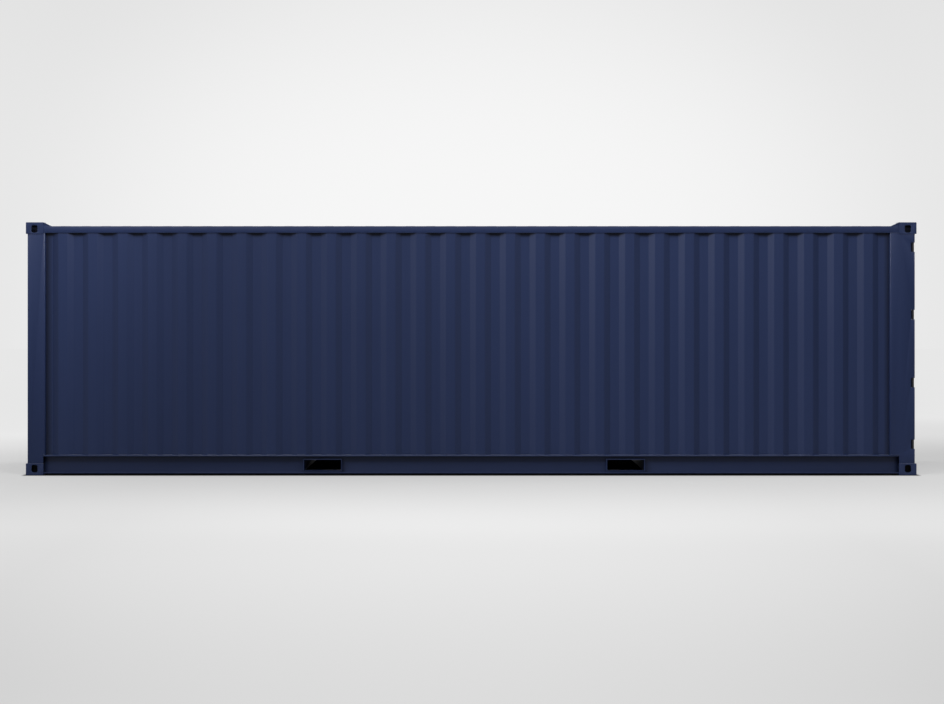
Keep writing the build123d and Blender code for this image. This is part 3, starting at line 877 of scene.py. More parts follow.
@dataclass
class CorrugatedSheet:
    """One corrugated sheet with its welds, in metres."""

    node: str
    body: str
    lie: Lie
    folds: Folds
    bend: float = 0.009
    sheet: float = 0.002
    bead: float = 0.0035
    step: float = 0.016
    arc_steps: int = 5
    smooth_to: float = 25.0

    @staticmethod
    def tree(material: bpy.types.Material) -> FormTree:
        """The tree that folds a sheet: its section is worked out point by point, rounded and drawn up.

        The section has a point at each end and four for each flat: the foot and head of the slope up to
        it, and the head and foot of the slope down. They are counted in whole numbers, so each test on
        a count is set half way between two.

        Args:
            material: the sheet's material.

        Returns:
            The tree.
        """
        corners_each, foot_seed, head_seed = 4.0, 3, 8
        form = FormTree("corrugated_sheet")
        span, height = form.size("Span"), form.size("Height")
        flats = form.size("Flats", whole=True)
        flat, slope, depth = form.size("Flat width"), form.size("Slope run"), form.size("Depth")
        first, last = form.size("First land"), form.size("Last land")
        bend, sheet = form.size("Bend radius"), form.size("Sheet")
        bead, step = form.size("Bead radius"), form.size("Bead step")
        arcs = form.size("Arc steps", whole=True)
        run = flat + slope * 2.0
        pitch = (span - first - last - run) / (flats - 1.0)
        points = flats * corners_each + 2.0
        line = form.add("GeometryNodeMeshLine", {"mode": "OFFSET"}, {"Count": points})
        index = form.add("GeometryNodeInputIndex")[0]
        wave = ((index - 1.0) / corners_each).math("FLOOR")
        corner = index - 1.0 - wave * corners_each
        past_slope = corner.math("GREATER_THAN", 0.5)
        past_flat = corner.math("GREATER_THAN", 1.5)
        past_run = corner.math("GREATER_THAN", 2.5)
        along = first + wave * pitch + past_slope * slope + past_flat * flat + past_run * slope
        started = index.math("GREATER_THAN", 0.5)
        ended = index.math("GREATER_THAN", points - 1.5)
        along = along * started * (1.0 - ended) + span * ended
        back = depth * (1.0 - (past_slope - past_run) * started)
        place = form.add("ShaderNodeCombineXYZ", {}, {"X": along, "Y": back})
        corners = form.add("GeometryNodeSetPosition", {}, {"Geometry": line, "Position": place})
        path = form.add("GeometryNodeMeshToCurve", {}, {"Mesh": corners})
        sockets = {"Curve": path, "Count": arcs, "Radius": bend, "Limit Radius": True}
        folded = form.add("GeometryNodeFilletCurve", {"mode": "POLY"}, sockets)
        edge = form.add("GeometryNodeCurveToMesh", {}, {"Curve": folded})
        up = form.add("ShaderNodeCombineXYZ", {}, {"Z": height})
        skin = form.add("GeometryNodeExtrudeMesh", {"mode": "EDGES"}, {"Mesh": edge, "Offset": up})
        sockets = {"Mesh": skin, "Offset Scale": sheet, "Individual": False}
        wall = form.add("GeometryNodeExtrudeMesh", {"mode": "FACES"}, sockets)
        back_skin = form.add("GeometryNodeFlipFaces", {}, {"Mesh": skin})
        closed = form.join(wall, back_skin)
        closed = form.add("GeometryNodeMergeByDistance", {}, {"Geometry": closed, "Distance": SAME_PLACE})
        head = form.add("GeometryNodeTransform", {}, {"Geometry": folded, "Translation": up})
        runs = ((folded, foot_seed), (head, head_seed))
        beads = [form.sweep(curve, step, bead, seed) for curve, seed in runs]
        form.close(form.join(closed, *beads), material)
        return form

    def place(self, low: Vector, high: Vector) -> Matrix:
        """Where the sheet stands.

        Args:
            low: the lowest corner of its node's box.
            high: the highest corner.

        Returns:
            The move from where the tree draws it.
        """
        if self.lie is Lie.LEFT:
            return Matrix.Translation((low.x, low.y, low.z))
        if self.lie is Lie.RIGHT:
            return Matrix.Translation((low.x, high.y, low.z)) @ Matrix.Scale(-1.0, 4, (0.0, 1.0, 0.0))
        if self.lie is Lie.FRONT:
            turn = Matrix(((0, 1, 0, 0), (-1, 0, 0, 0), (0, 0, 1, 0), (0, 0, 0, 1)))
            return Matrix.Translation((low.x, high.y, low.z)) @ turn
        turn = Matrix(((0, -1, 0, 0), (0, 0, -1, 0), (1, 0, 0, 0), (0, 0, 0, 1)))
        return Matrix.Translation((high.x, high.y, low.z)) @ turn

    def build(self, form: FormTree, finishes: Finishes) -> bpy.types.Object:
        """Fold the sheet and set it in place of its node.

        Args:
            form: the tree that folds it.
            finishes: every finish.

        Returns:
            The piece.
        """
        low, high = (Vector(corner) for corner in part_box(self.node))
        size = high - low
        spans = {
            Lie.LEFT: (size.x, size.z),
            Lie.RIGHT: (size.x, size.z),
            Lie.FRONT: (size.y, size.z),
            Lie.DOOR: (size.z, size.y),
        }
        span, height = spans[self.lie]
        sizes = {
            "Span": span,
            "Height": height,
            "Flats": self.folds.flats,
            "Flat width": self.folds.flat,
            "Slope run": self.folds.slope,
            "Depth": self.folds.depth,
            "First land": self.folds.first_land,
            "Last land": self.folds.last_land,
            "Bend radius": self.bend,
            "Sheet": self.sheet,
            "Bead radius": self.bead,
            "Bead step": self.step,
            "Arc steps": self.arc_steps,
        }
        mesh = form.grow(bpy.data.meshes.new(self.node), sizes)
        mesh.transform(self.place(low, high))
        face_outwards(mesh)
        smooth(mesh, self.smooth_to)
        piece = new_piece(self.node + "_sheet", mesh)
        # The walls take the copies of the paint with painted shade.
        paints = {Lie.LEFT: finishes.walls, Lie.RIGHT: finishes.walls, Lie.FRONT: finishes.end_wall}
        finishes.dress(piece, Slot.PAINT, paints.get(self.lie))
        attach(piece, self.body)
        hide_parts(self.node)
        return piece


def strands(name: str, lines: "Sequence[Sequence[Place]]") -> bpy.types.Mesh:
    """A mesh of edges along several lines of points, for a tree to follow.

    Args:
        name: what the mesh is called.
        lines: the points of each line; a line of one point has no edge.

    Returns:
        The mesh.
    """
    points, edges = [], []
    for line in lines:
        start = len(points)
        points += line
        edges += [(start + i, start + i + 1) for i in range(len(line) - 1)]
    mesh = bpy.data.meshes.new(name)
    mesh.from_pydata(points, edges, [])
    return mesh


def solid_block(work: bmesh.types.BMesh, low: Place, high: Place, edge: float, steps: int = 2) -> None:
    """Add a block with rounded edges.

    Args:
        work: the mesh that it is added to.
        low: its lowest corner.
        high: its highest corner.
        edge: the width of its rounded edges.
        steps: bevel steps.
    """
    middle = [(a + b) / 2 for a, b in zip(low, high)]
    size = [b - a for a, b in zip(low, high)]
    place = Matrix.Translation(middle) @ Matrix.Diagonal((*size, 1.0))
    made = bmesh.ops.create_cube(work, size=1.0, matrix=place)
    edges = list({e for v in made["verts"] for e in v.link_edges})
    bmesh.ops.bevel(work, geom=edges, offset=edge, segments=steps, profile=0.5, affect="EDGES")


def finished(name: str, work: bmesh.types.BMesh, angle: float = 35.0) -> bpy.types.Object:
    """Close a mesh in the making and link it as a smooth piece.

    Args:
        name: the piece's name.
        work: the mesh in the making.
        angle: edges sharper than this, in degrees, stay sharp.

    Returns:
        The piece.
    """
    bmesh.ops.recalc_face_normals(work, faces=work.faces)
    mesh = bpy.data.meshes.new(name)
    work.to_mesh(mesh)
    work.free()
    smooth(mesh, angle)
    return new_piece(name, mesh)


@dataclass
class Welds:
    """Beads where the steel of the frame meets, in metres."""

    finishes: Finishes
    frame_bead: float = 0.0034
    roof_bead: float = 0.0030
    step: float = 0.018
    casting_end: float = 4.3845
    casting_side: float = 1.057
    casting_height: float = 0.118
    top_castings: float = 2.473
    face: float = 1.213
    end_face: float = 4.5465
    land: float = 1.173
    front_land: float = 4.4969
    rail_web: float = 1.165
    roof_top: float = 2.538
    roof_side: float = 1.153
    roof_pitch: float = 0.209
    roof_ribs: int = 41
    ribs_between_seams: int = 5
    rear_turn: float = 1.171
    above_header: float = 0.030
    header_face: float = 0.1055
    smooth_to: float = 50.0

    @staticmethod
    def tree(material: bpy.types.Material) -> FormTree:
        """The tree that lays an uneven bead along every line it is given.

        Args:
            material: the beads' material.

        Returns:
            The tree.
        """
        form = FormTree("weld_beads")
        radius, step = form.size("Bead radius"), form.size("Bead step")
        path = form.add("GeometryNodeMeshToCurve", {}, {"Mesh": form.given})
        form.close(form.sweep(path, step, radius, seed=5), material)
        return form

    def side_lines(self, side: str) -> "list[list[Place]]":
        """The lines of one side of the frame.

        Args:
            side: left or right.

        Returns:
            The points of each line.
        """
        way = -1.0 if side == "left" else 1.0
        y, inner, land, web = (way * v for v in (self.face, self.casting_side, self.land, self.rail_web))
        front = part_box(f"front_post_{side}")[1][0]
        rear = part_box(f"rear_post_{side}")[0][0]
        rail_low, rail_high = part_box(f"bottom_rail_{side}")[0][2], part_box(f"bottom_rail_{side}")[1][2]
        under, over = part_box(f"front_post_{side}")[1][2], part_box("front_header")[1][2]
        lines = []
        for post, end, turn in ((front, -1.0, inner), (rear, 1.0, way * self.rear_turn)):
            casting, outer = end * self.casting_end, end * self.end_face
            for level in (self.casting_height, self.top_castings):
                lines.append([(casting, y, level), (outer, y, level), (outer, turn, level)])
            lines.append([(casting, y, rail_low), (casting, y, self.casting_height)])
            lines.append([(casting, y, under), (casting, y, over + self.above_header)])
            for level in (rail_high, under):
                lines.append([(casting, y, level), (post, y, level)])
            lines.append([(post, land, rail_high), (post, land, under)])
        for end in ("front", "rear"):
            low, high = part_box(f"fork_pocket_{end}")
            x0, x1, z0, z1 = low[0], high[0], low[2], high[2]
            lines.append([(x0, web, z0), (x0, web, z1), (x1, web, z1), (x1, web, z0), (x0, web, z0)])
        x = -self.end_face
        lines.append([(x, inner, rail_low), (x, inner, self.casting_height)])
        lines.append([(x, inner, under), (x, inner, over)])
        lines.append([(-self.front_land, inner, rail_high), (-self.front_land, inner, under)])
        low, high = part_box("rear_header")[0][2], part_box("rear_header")[1][2]
        x = self.casting_end + self.header_face
        lines.append([(x, inner, low), (x, inner, high)])
        return lines

    def roof_lines(self) -> "list[list[Place]]":
        """The seams across the roof and the bead round its edge.

        Returns:
            The points of each line.
        """
        z, y = self.roof_top, self.roof_side
        front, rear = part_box("roof")[0][0], self.casting_end
        lines = [[(-rear, way * y, z), (rear, way * y, z)] for way in (-1.0, 1.0)]
        lines += [[(x, -self.casting_side, z), (x, self.casting_side, z)] for x in (front, rear)]
        first = -self.roof_pitch * (self.roof_ribs - 1) / 2
        for rib in range(self.ribs_between_seams - 1, self.roof_ribs - 1, self.ribs_between_seams):
            x = first + (rib + 0.5) * self.roof_pitch
            lines.append([(x, -y, z), (x, y, z)])
        return lines

    def build(self) -> None:
        """Lay the beads, as one piece on the frame and one on the roof."""
        form = self.tree(self.finishes.by_slot[Slot.PAINT])
        frame_lines = self.side_lines("left") + self.side_lines("right")
        runs = (
            ("frame_welds", frame_lines, self.frame_bead),
            ("roof_welds", self.roof_lines(), self.roof_bead),
        )
        for name, lines, radius in runs:
            mesh = form.grow(strands(name, lines), {"Bead radius": radius, "Bead step": self.step})
            smooth(mesh, self.smooth_to)
            piece = new_piece(name, mesh)
            self.finishes.dress(piece, Slot.PAINT)
            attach(piece, "frame")
            LOG.info("%s laid along %d lines", name, len(lines))


class Facing(Enum):
    """Which way a fastener's head points, as the turn that brings +Z there."""

    UP = (0.0, 0.0, 0.0)
    DOORWARDS = (0.0, math.pi / 2, 0.0)


@dataclass
class Fasteners:
    """Heads of bolts or screws of one kind, in metres."""

    material: bpy.types.Material
    facing: Facing
    corners: int
    head: tuple[float, float]
    washer: tuple[float, float]
    head_taper: float = 0.86
    washer_taper: float = 0.94
    washer_sides: int = 14
    smooth_to: float = 30.0

    def tree(self) -> FormTree:
        """The tree that sets a washer and a head on every point it is given.

        Returns:
            The tree.
        """
        form = FormTree("fasteners")
        head, tall = form.size("Head radius"), form.size("Head height")
        washer, thick = form.size("Washer radius"), form.size("Washer thickness")
        narrow = head * self.head_taper
        sockets = {"Vertices": self.corners, "Radius Top": narrow, "Radius Bottom": head, "Depth": tall}
        top = form.add("GeometryNodeMeshCone", {}, sockets)
        lift = form.add("ShaderNodeCombineXYZ", {}, {"Z": thick})
        top = form.add("GeometryNodeTransform", {}, {"Geometry": top, "Translation": lift})
        narrow, sides = washer * self.washer_taper, self.washer_sides
        sockets = {"Vertices": sides, "Radius Top": narrow, "Radius Bottom": washer, "Depth": thick}
        ring = form.add("GeometryNodeMeshCone", {}, sockets)
        part = form.join(top, ring)
        sockets = {"Points": form.given, "Instance": part, "Rotation": self.facing.value}
        form.close(form.add("GeometryNodeInstanceOnPoints", {}, sockets), self.material)
        return form

    def set_on(self, name: str, places: "Sequence[Place]", finishes: Finishes, slot: Slot, body: str) -> None:
        """Set one on each place.

        Args:
            name: the piece's name.
            places: where their washers rest.
            finishes: every finish.
            slot: the record's slot.
            body: what they ride on.
        """
        sizes = {
            "Head radius": self.head[0],
            "Head height": self.head[1],
            "Washer radius": self.washer[0],
            "Washer thickness": self.washer[1],
        }
        mesh = self.tree().grow(strands(name, [[place] for place in places]), sizes)
        smooth(mesh, self.smooth_to)
        piece = new_piece(name, mesh)
        finishes.dress(piece, slot, self.material)
        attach(piece, body)
        LOG.info("%s: %d set", name, len(places))


@dataclass
class LashingRings:
    """Rings that stand in the hollows of the side walls, low and high, in metres."""

    finishes: Finishes
    ring: float = 0.022
    bar: float = 0.005
    out: float = 1.186
    every: int = 3
    pitch: float = 0.30567
    first: float = -4.1845
    crests: int = 28
    sunk: float = 0.001
    ring_sides: int = 28
    bar_sides: int = 10
    smooth_to: float = 40.0

    def tree(self) -> FormTree:
        """The tree that stands a ring on every point it is given.

        Returns:
            The tree.
        """
        form = FormTree("lashing_rings")
        ring, bar = form.size("Ring radius"), form.size("Bar radius")
        loop, round_bar = form.circle(ring, self.ring_sides), form.circle(bar, self.bar_sides)
        shape = form.add("GeometryNodeCurveToMesh", {}, {"Curve": loop, "Profile Curve": round_bar})
        sockets = {"Points": form.given, "Instance": shape, "Rotation": (math.pi / 2, 0.0, 0.0)}
        form.close(form.add("GeometryNodeInstanceOnPoints", {}, sockets), self.finishes.by_slot[Slot.ZINC])
        return form

    def build(self) -> None:
        """Stand the rings on the bottom rails and hang them under the top rails."""
        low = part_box("bottom_rail_left")[1][2] + self.ring + self.bar - self.sunk
        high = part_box("front_post_left")[1][2] - self.ring - self.bar + self.sunk
        places = []
        for crest in range(1, self.crests, self.every):
            x = self.first + crest * self.pitch
            places += [(x, way * self.out, z) for way in (-1.0, 1.0) for z in (low, high)]
        sizes = {"Ring radius": self.ring, "Bar radius": self.bar}
        mesh = self.tree().grow(strands("lashing_rings", [[place] for place in places]), sizes)
        smooth(mesh, self.smooth_to)
        piece = new_piece("lashing_rings", mesh)
        self.finishes.dress(piece, Slot.ZINC)
        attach(piece, "frame")
        LOG.info("%d lashing rings", len(places))


@dataclass
class PlywoodFloor:
    """Floor boards with open seams, screwed down on the cross members, in metres."""

    finishes: Finishes
    screw_material: bpy.types.Material
    rows: int = 4
    seam: float = 0.0016
    edge: float = 0.0012
    inner: float = 0.025
    notch_x: float = -4.3845
    notch_y: float = 1.057
    member_first: float = -4.494
    member_pitch: float = 0.31709
    members: int = 27
    screw_side: float = 0.0225
    screw_ys: tuple[float, ...] = (0.055, 0.20, 0.35, 0.50, 0.65, 0.80, 0.95, 1.09)
    screw_corners: int = 10
    screw_head: tuple[float, float] = (0.0040, 0.0006)
    screw_rim: tuple[float, float] = (0.0058, 0.0005)
    screw_sunk: float = 0.0004

    def board(
        self,
        work: bmesh.types.BMesh,
        outline: "Sequence[tuple[float, float]]",
        low: float,
        high: float,
    ) -> None:
        """Add one board with rounded edges.

        Args:
            work: the mesh that it is added to.
            outline: its corners, by X and Y.
            low: the height of its underside.
            high: the height of its top.
        """
        base = [work.verts.new((x, y, low)) for x, y in outline]
        face = work.faces.new(base)
        raised = bmesh.ops.extrude_face_region(work, geom=[face])["geom"]
        top = [part for part in raised if isinstance(part, bmesh.types.BMVert)]
        bmesh.ops.translate(work, verts=top, vec=(0.0, 0.0, high - low))
        edges = list({e for v in (*base, *top) for e in v.link_edges})
        bmesh.ops.bevel(work, geom=edges, offset=self.edge, segments=1, profile=0.5, affect="EDGES")

    def build(self) -> None:
        """Lay the boards and set the screws."""
        low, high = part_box("floor_boards")
        cuts = [low[0] + (high[0] - low[0]) * row / self.rows for row in range(self.rows + 1)]
        work = bmesh.new()
        for way in (-1.0, 1.0):
            outer, notch = way * high[1], way * self.notch_y
            inner = way * self.inner
            for row, (start, stop) in enumerate(zip(cuts, cuts[1:])):
                x0 = start + (self.seam / 2 if row else 0.0)
                x1 = stop - (self.seam / 2 if row < self.rows - 1 else 0.0)
                outline = [(x0, inner), (x1, inner), (x1, outer), (x0, outer)]
                if row == 0:
                    corner = [(self.notch_x, outer), (self.notch_x, notch), (x0, notch)]
                    outline = [(x0, inner), (x1, inner), (x1, outer), *corner]
                self.board(work, outline, low[2], high[2])
        piece = finished("floor_boards_plywood", work)
        self.finishes.dress(piece, Slot.PLYWOOD)
        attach(piece, "frame")
        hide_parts("floor_boards")
        LOG.info("floor boards laid")
        first = self.member_first + self.screw_side
        rows = [first + (index + 1) * self.member_pitch for index in range(self.members)]
        z = high[2] - self.screw_sunk
        places = [(x, way * y, z) for x in rows for y in self.screw_ys for way in (-1.0, 1.0)]
        kind = (Facing.UP, self.screw_corners, self.screw_head, self.screw_rim)
        screws = Fasteners(self.screw_material, *kind)
        screws.set_on("floor_screws", places, self.finishes, Slot.ZINC, "frame")


@dataclass
class DoorTrim:
    """Fine parts of one door leaf: hinge knuckles, bolts and the lips of its seal, in metres."""

    finishes: Finishes
    side: str
    pin: tuple[float, float] = (4.528, 1.195)
    door_face: float = 4.490
    knuckle_reach: float = 0.023
    knuckle_height: float = 0.0475
    blade: float = 0.012
    guide_plate: float = 0.006
    rods: tuple[float, float] = (0.260, 0.850)
    flat_first: float = 0.151
    lips: tuple[float, float] = (4.4550, 4.4710)
    lip_thickness: float = 0.004
    lip_reaches: tuple[float, float, float] = (0.024, 0.0048, 0.0066)
    lip_overlap: float = 0.001
    lip_edge: float = 0.0012
    foot: float = 0.118
    head: float = 2.473
    hinge_shares: tuple[float, ...] = (0.0843, 0.3523, 0.6484, 0.9417)
    knuckle_ends: tuple[float, float] = (-0.007, 0.012)
    knuckle_edge: float = 0.0015
    hinge_bolt_outs: tuple[float, ...] = (0.052, 0.083, 0.114)
    hinge_bolt_rise: float = 0.026
    hinge_bolt_head: tuple[float, float] = (0.0085, 0.006)
    hinge_bolt_washer: tuple[float, float] = (0.0110, 0.002)
    guide_bolt_out: float = 0.0355
    guide_bolt_rise: float = 0.020
    guide_bolt_head: tuple[float, float] = (0.0062, 0.005)
    guide_bolt_washer: tuple[float, float] = (0.0080, 0.0012)
    guide_from_end: float = 0.060
    guide_flats: tuple[int, int] = (1, 4)
    flats: int = 7
    bolt_corners: int = 6

    @property
    def way(self) -> float:
        """The sign of Y on this side."""
        return -1.0 if self.side == "left" else 1.0

    @property
    def levels(self) -> "list[float]":
        """Heights of the hinges."""
        return [self.foot + share * (self.head - self.foot) for share in self.hinge_shares]

    def from_pin(self, inwards: float) -> float:
        """The Y of a place, by its distance from the hinge pin towards the middle."""
        return self.way * (self.pin[1] - inwards)

    def knuckles(self) -> None:
        """The thick root of each hinge blade, as tall as its barrel."""
        work = bmesh.new()
        ys = sorted(self.from_pin(inwards) for inwards in self.knuckle_ends)
        for level in self.levels:
            low = (self.pin[0] - self.knuckle_reach, ys[0], level - self.knuckle_height)
            high = (self.pin[0], ys[1], level + self.knuckle_height)
            solid_block(work, low, high, self.knuckle_edge)
        piece = finished(f"hinge_knuckles_{self.side}", work)
        self.finishes.dress(piece, Slot.HINGE)
        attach(piece, f"door_{self.side}")

    def bolts(self) -> None:
        """Bolts on the hinge blades, and on the rod guides and catches."""
        body = f"door_{self.side}"
        blade_x = self.door_face + self.blade
        places = [
            (blade_x, self.from_pin(out), level + rise)
            for level in self.levels
            for out in self.hinge_bolt_outs
            for rise in (-self.hinge_bolt_rise, self.hinge_bolt_rise)
        ]
        kind = (Facing.DOORWARDS, self.bolt_corners, self.hinge_bolt_head, self.hinge_bolt_washer)
        heavy = Fasteners(self.finishes.by_slot[Slot.HINGE], *kind)
        heavy.set_on(f"hinge_bolts_{self.side}", places, self.finishes, Slot.HINGE, body)
        low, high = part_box(f"door_panel_{self.side}")
        pitch = (high[2] - low[2] - 2 * self.flat_first) / (self.flats - 1)
        on_flats = [low[2] + self.flat_first + index * pitch for index in self.guide_flats]
        leaf_low, leaf_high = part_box(f"door_frame_{self.side}")
        near_ends = (leaf_low[2] + self.guide_from_end, leaf_high[2] - self.guide_from_end)
        x = self.door_face + self.guide_plate
        places = [
            (x, self.from_pin(rod + out), level + rise)
            for rod in self.rods
            for level in (*near_ends, *on_flats)
            for out in (-self.guide_bolt_out, self.guide_bolt_out)
            for rise in (-self.guide_bolt_rise, self.guide_bolt_rise)
        ]
        kind = (Facing.DOORWARDS, self.bolt_corners, self.guide_bolt_head, self.guide_bolt_washer)
        light = Fasteners(self.finishes.by_slot[Slot.ZINC], *kind)
        light.set_on(f"guide_bolts_{self.side}", places, self.finishes, Slot.ZINC, body)

    def seal_lips(self) -> None:
        """Two rubber lips all round the edge of the leaf."""
        low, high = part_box(f"door_frame_{self.side}")
        hinge, free, level = self.lip_reaches
        wide = (hinge, free) if self.side == "left" else (free, hinge)
        under = self.lip_overlap
        inner = (low[1] + under, high[1] - under, low[2] + under, high[2] - under)
        outer = (low[1] - wide[0], high[1] + wide[1], low[2] - level, high[2] + level)
        work = bmesh.new()
        for x in self.lips:
            rings = []
            for y0, y1, z0, z1 in (inner, outer):
                rings.append([work.verts.new((x, y, z)) for y, z in ((y0, z0), (y1, z0), (y1, z1), (y0, z1))])
            faces = []
            for i in range(4):
                j = (i + 1) % 4
                faces.append(work.faces.new((rings[0][i], rings[0][j], rings[1][j], rings[1][i])))
            raised = bmesh.ops.extrude_face_region(work, geom=faces)["geom"]
            moved = [part for part in raised if isinstance(part, bmesh.types.BMVert)]
            bmesh.ops.translate(work, verts=moved, vec=(self.lip_thickness, 0.0, 0.0))
        rims = [e for e in work.edges if len(e.link_faces) == 2 and e.calc_face_angle(0.0) > 1.0]
        bmesh.ops.bevel(work, geom=rims, offset=self.lip_edge, segments=2, profile=0.5, affect="EDGES")
        piece = finished(f"seal_lips_{self.side}", work)
        self.finishes.dress(piece, Slot.RUBBER)
        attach(piece, f"door_{self.side}")

    def build(self) -> None:
        """Make everything on this leaf."""
        self.knuckles()
        self.bolts()
        self.seal_lips()
        LOG.info("trim of the %s door", self.side)


@dataclass(frozen=True)
class SoftBox:
    """A rectangular lamp, in metres, watts and degrees."""

    name: str
    place: Place
    target: Place
    size: tuple[float, float]
    power: float
    spread: float

    def mirrored(self, name: str, x_way: float = 1.0, y_way: float = 1.0) -> "SoftBox":
        """The same lamp, mirrored along each axis whose way is -1.

        Args:
            name: what the new lamp is called.
            x_way: 1 or -1.
            y_way: 1 or -1.

        Returns:
            The new lamp.
        """
        place = (x_way * self.place[0], y_way * self.place[1], self.place[2])
        target = (x_way * self.target[0], y_way * self.target[1], self.target[2])
        return replace(self, name=name, place=place, target=target)

    def build(self) -> None:
        """Hang the lamp."""
        data = bpy.data.lights.new(self.name, "AREA")
        data.shape = "RECTANGLE"
        data.size, data.size_y = self.size
        data.energy = self.power
        data.spread = math.radians(self.spread)
        lamp = bpy.data.objects.new(self.name, data)
        lamp.location = self.place
        aim = Vector(self.target) - Vector(self.place)
        lamp.rotation_euler = aim.to_track_quat("-Z", "Y").to_euler()
        lamp.visible_camera = False
        bpy.context.scene.collection.objects.link(lamp)


@dataclass(frozen=True)
class FloorLook:
    """How bright the camera sees the floor, by distances in metres: painted light and painted shadow.

    An edge is the place and width of a soft step.
    """

    radius: float = 90.0
    sides: int = 96
    glow: float = 0.42
    tint: float = 0.197
    dark_tint: float = 0.03
    bounce: float = 0.25
    half_length: float = 4.56
    half_width: float = 1.22
    end_weight: float = 6.0
    dark_edge: tuple[float, float] = (0.07, 0.14)
    # The following make painted pools of light and painted shadow across the floor.
    front: float = -1.2
    ahead_reach: float = 4.5
    ahead_loss: float = 0.045
    pool_edge: tuple[float, float] = (2.8, 5.6)
    pool: float = 0.27
    pool_ahead: float = 0.035
    dusk_edge: tuple[float, float] = (10.5, 7.0)
    dusk: float = 0.1
    aside_most: float = 8.0
    aside_loss: float = 0.012
    further_reach: float = 12.0
    further_loss: float = 0.019
    beyond_start: Place = (3.4, -1.6, 2.0)
    beyond_reach: Place = (2.4, 2.4, 9.0)
    beyond_loss: float = 0.34
    far_edge: tuple[float, float] = (24.0, 40.0)

    def shade(self, across: Value, deep: Value, clear: Value) -> Value:
        """How brightly the floor glows for the camera: painted shade near the container, at the sides and far
        in front, and a painted pool of light between.

        Args:
            across: the X of a place on it.
            deep: its Y.
            clear: its distance from the container.

        Returns:
            The strength of the glow.
        """
        ahead = ((deep - self.front) / -self.ahead_reach).clamped()
        pool = clear.above(*self.pool_edge) * (self.pool + ahead * self.pool_ahead)
        pool = pool - clear.above(*self.dusk_edge) * ahead * self.dusk
        aside = (across * across).math("MINIMUM", self.aside_most)
        further = ((deep - self.front) / -self.further_reach).clamped() ** 4.0
        shade = self.glow - ahead * self.ahead_loss + pool
        shade = shade * (1.0 - aside * ahead * (self.aside_loss + further * self.further_loss))
        # Painted shadow beside and behind the door end.
        (x, y, end), (x_reach, y_reach, end_reach) = self.beyond_start, self.beyond_reach
        beyond = ((across - x) / x_reach).clamped() * ((deep - y) / y_reach).clamped()
        beyond = beyond * (1.0 - ((deep - end) / end_reach).clamped())
        return shade * (1.0 - beyond * self.beyond_loss)


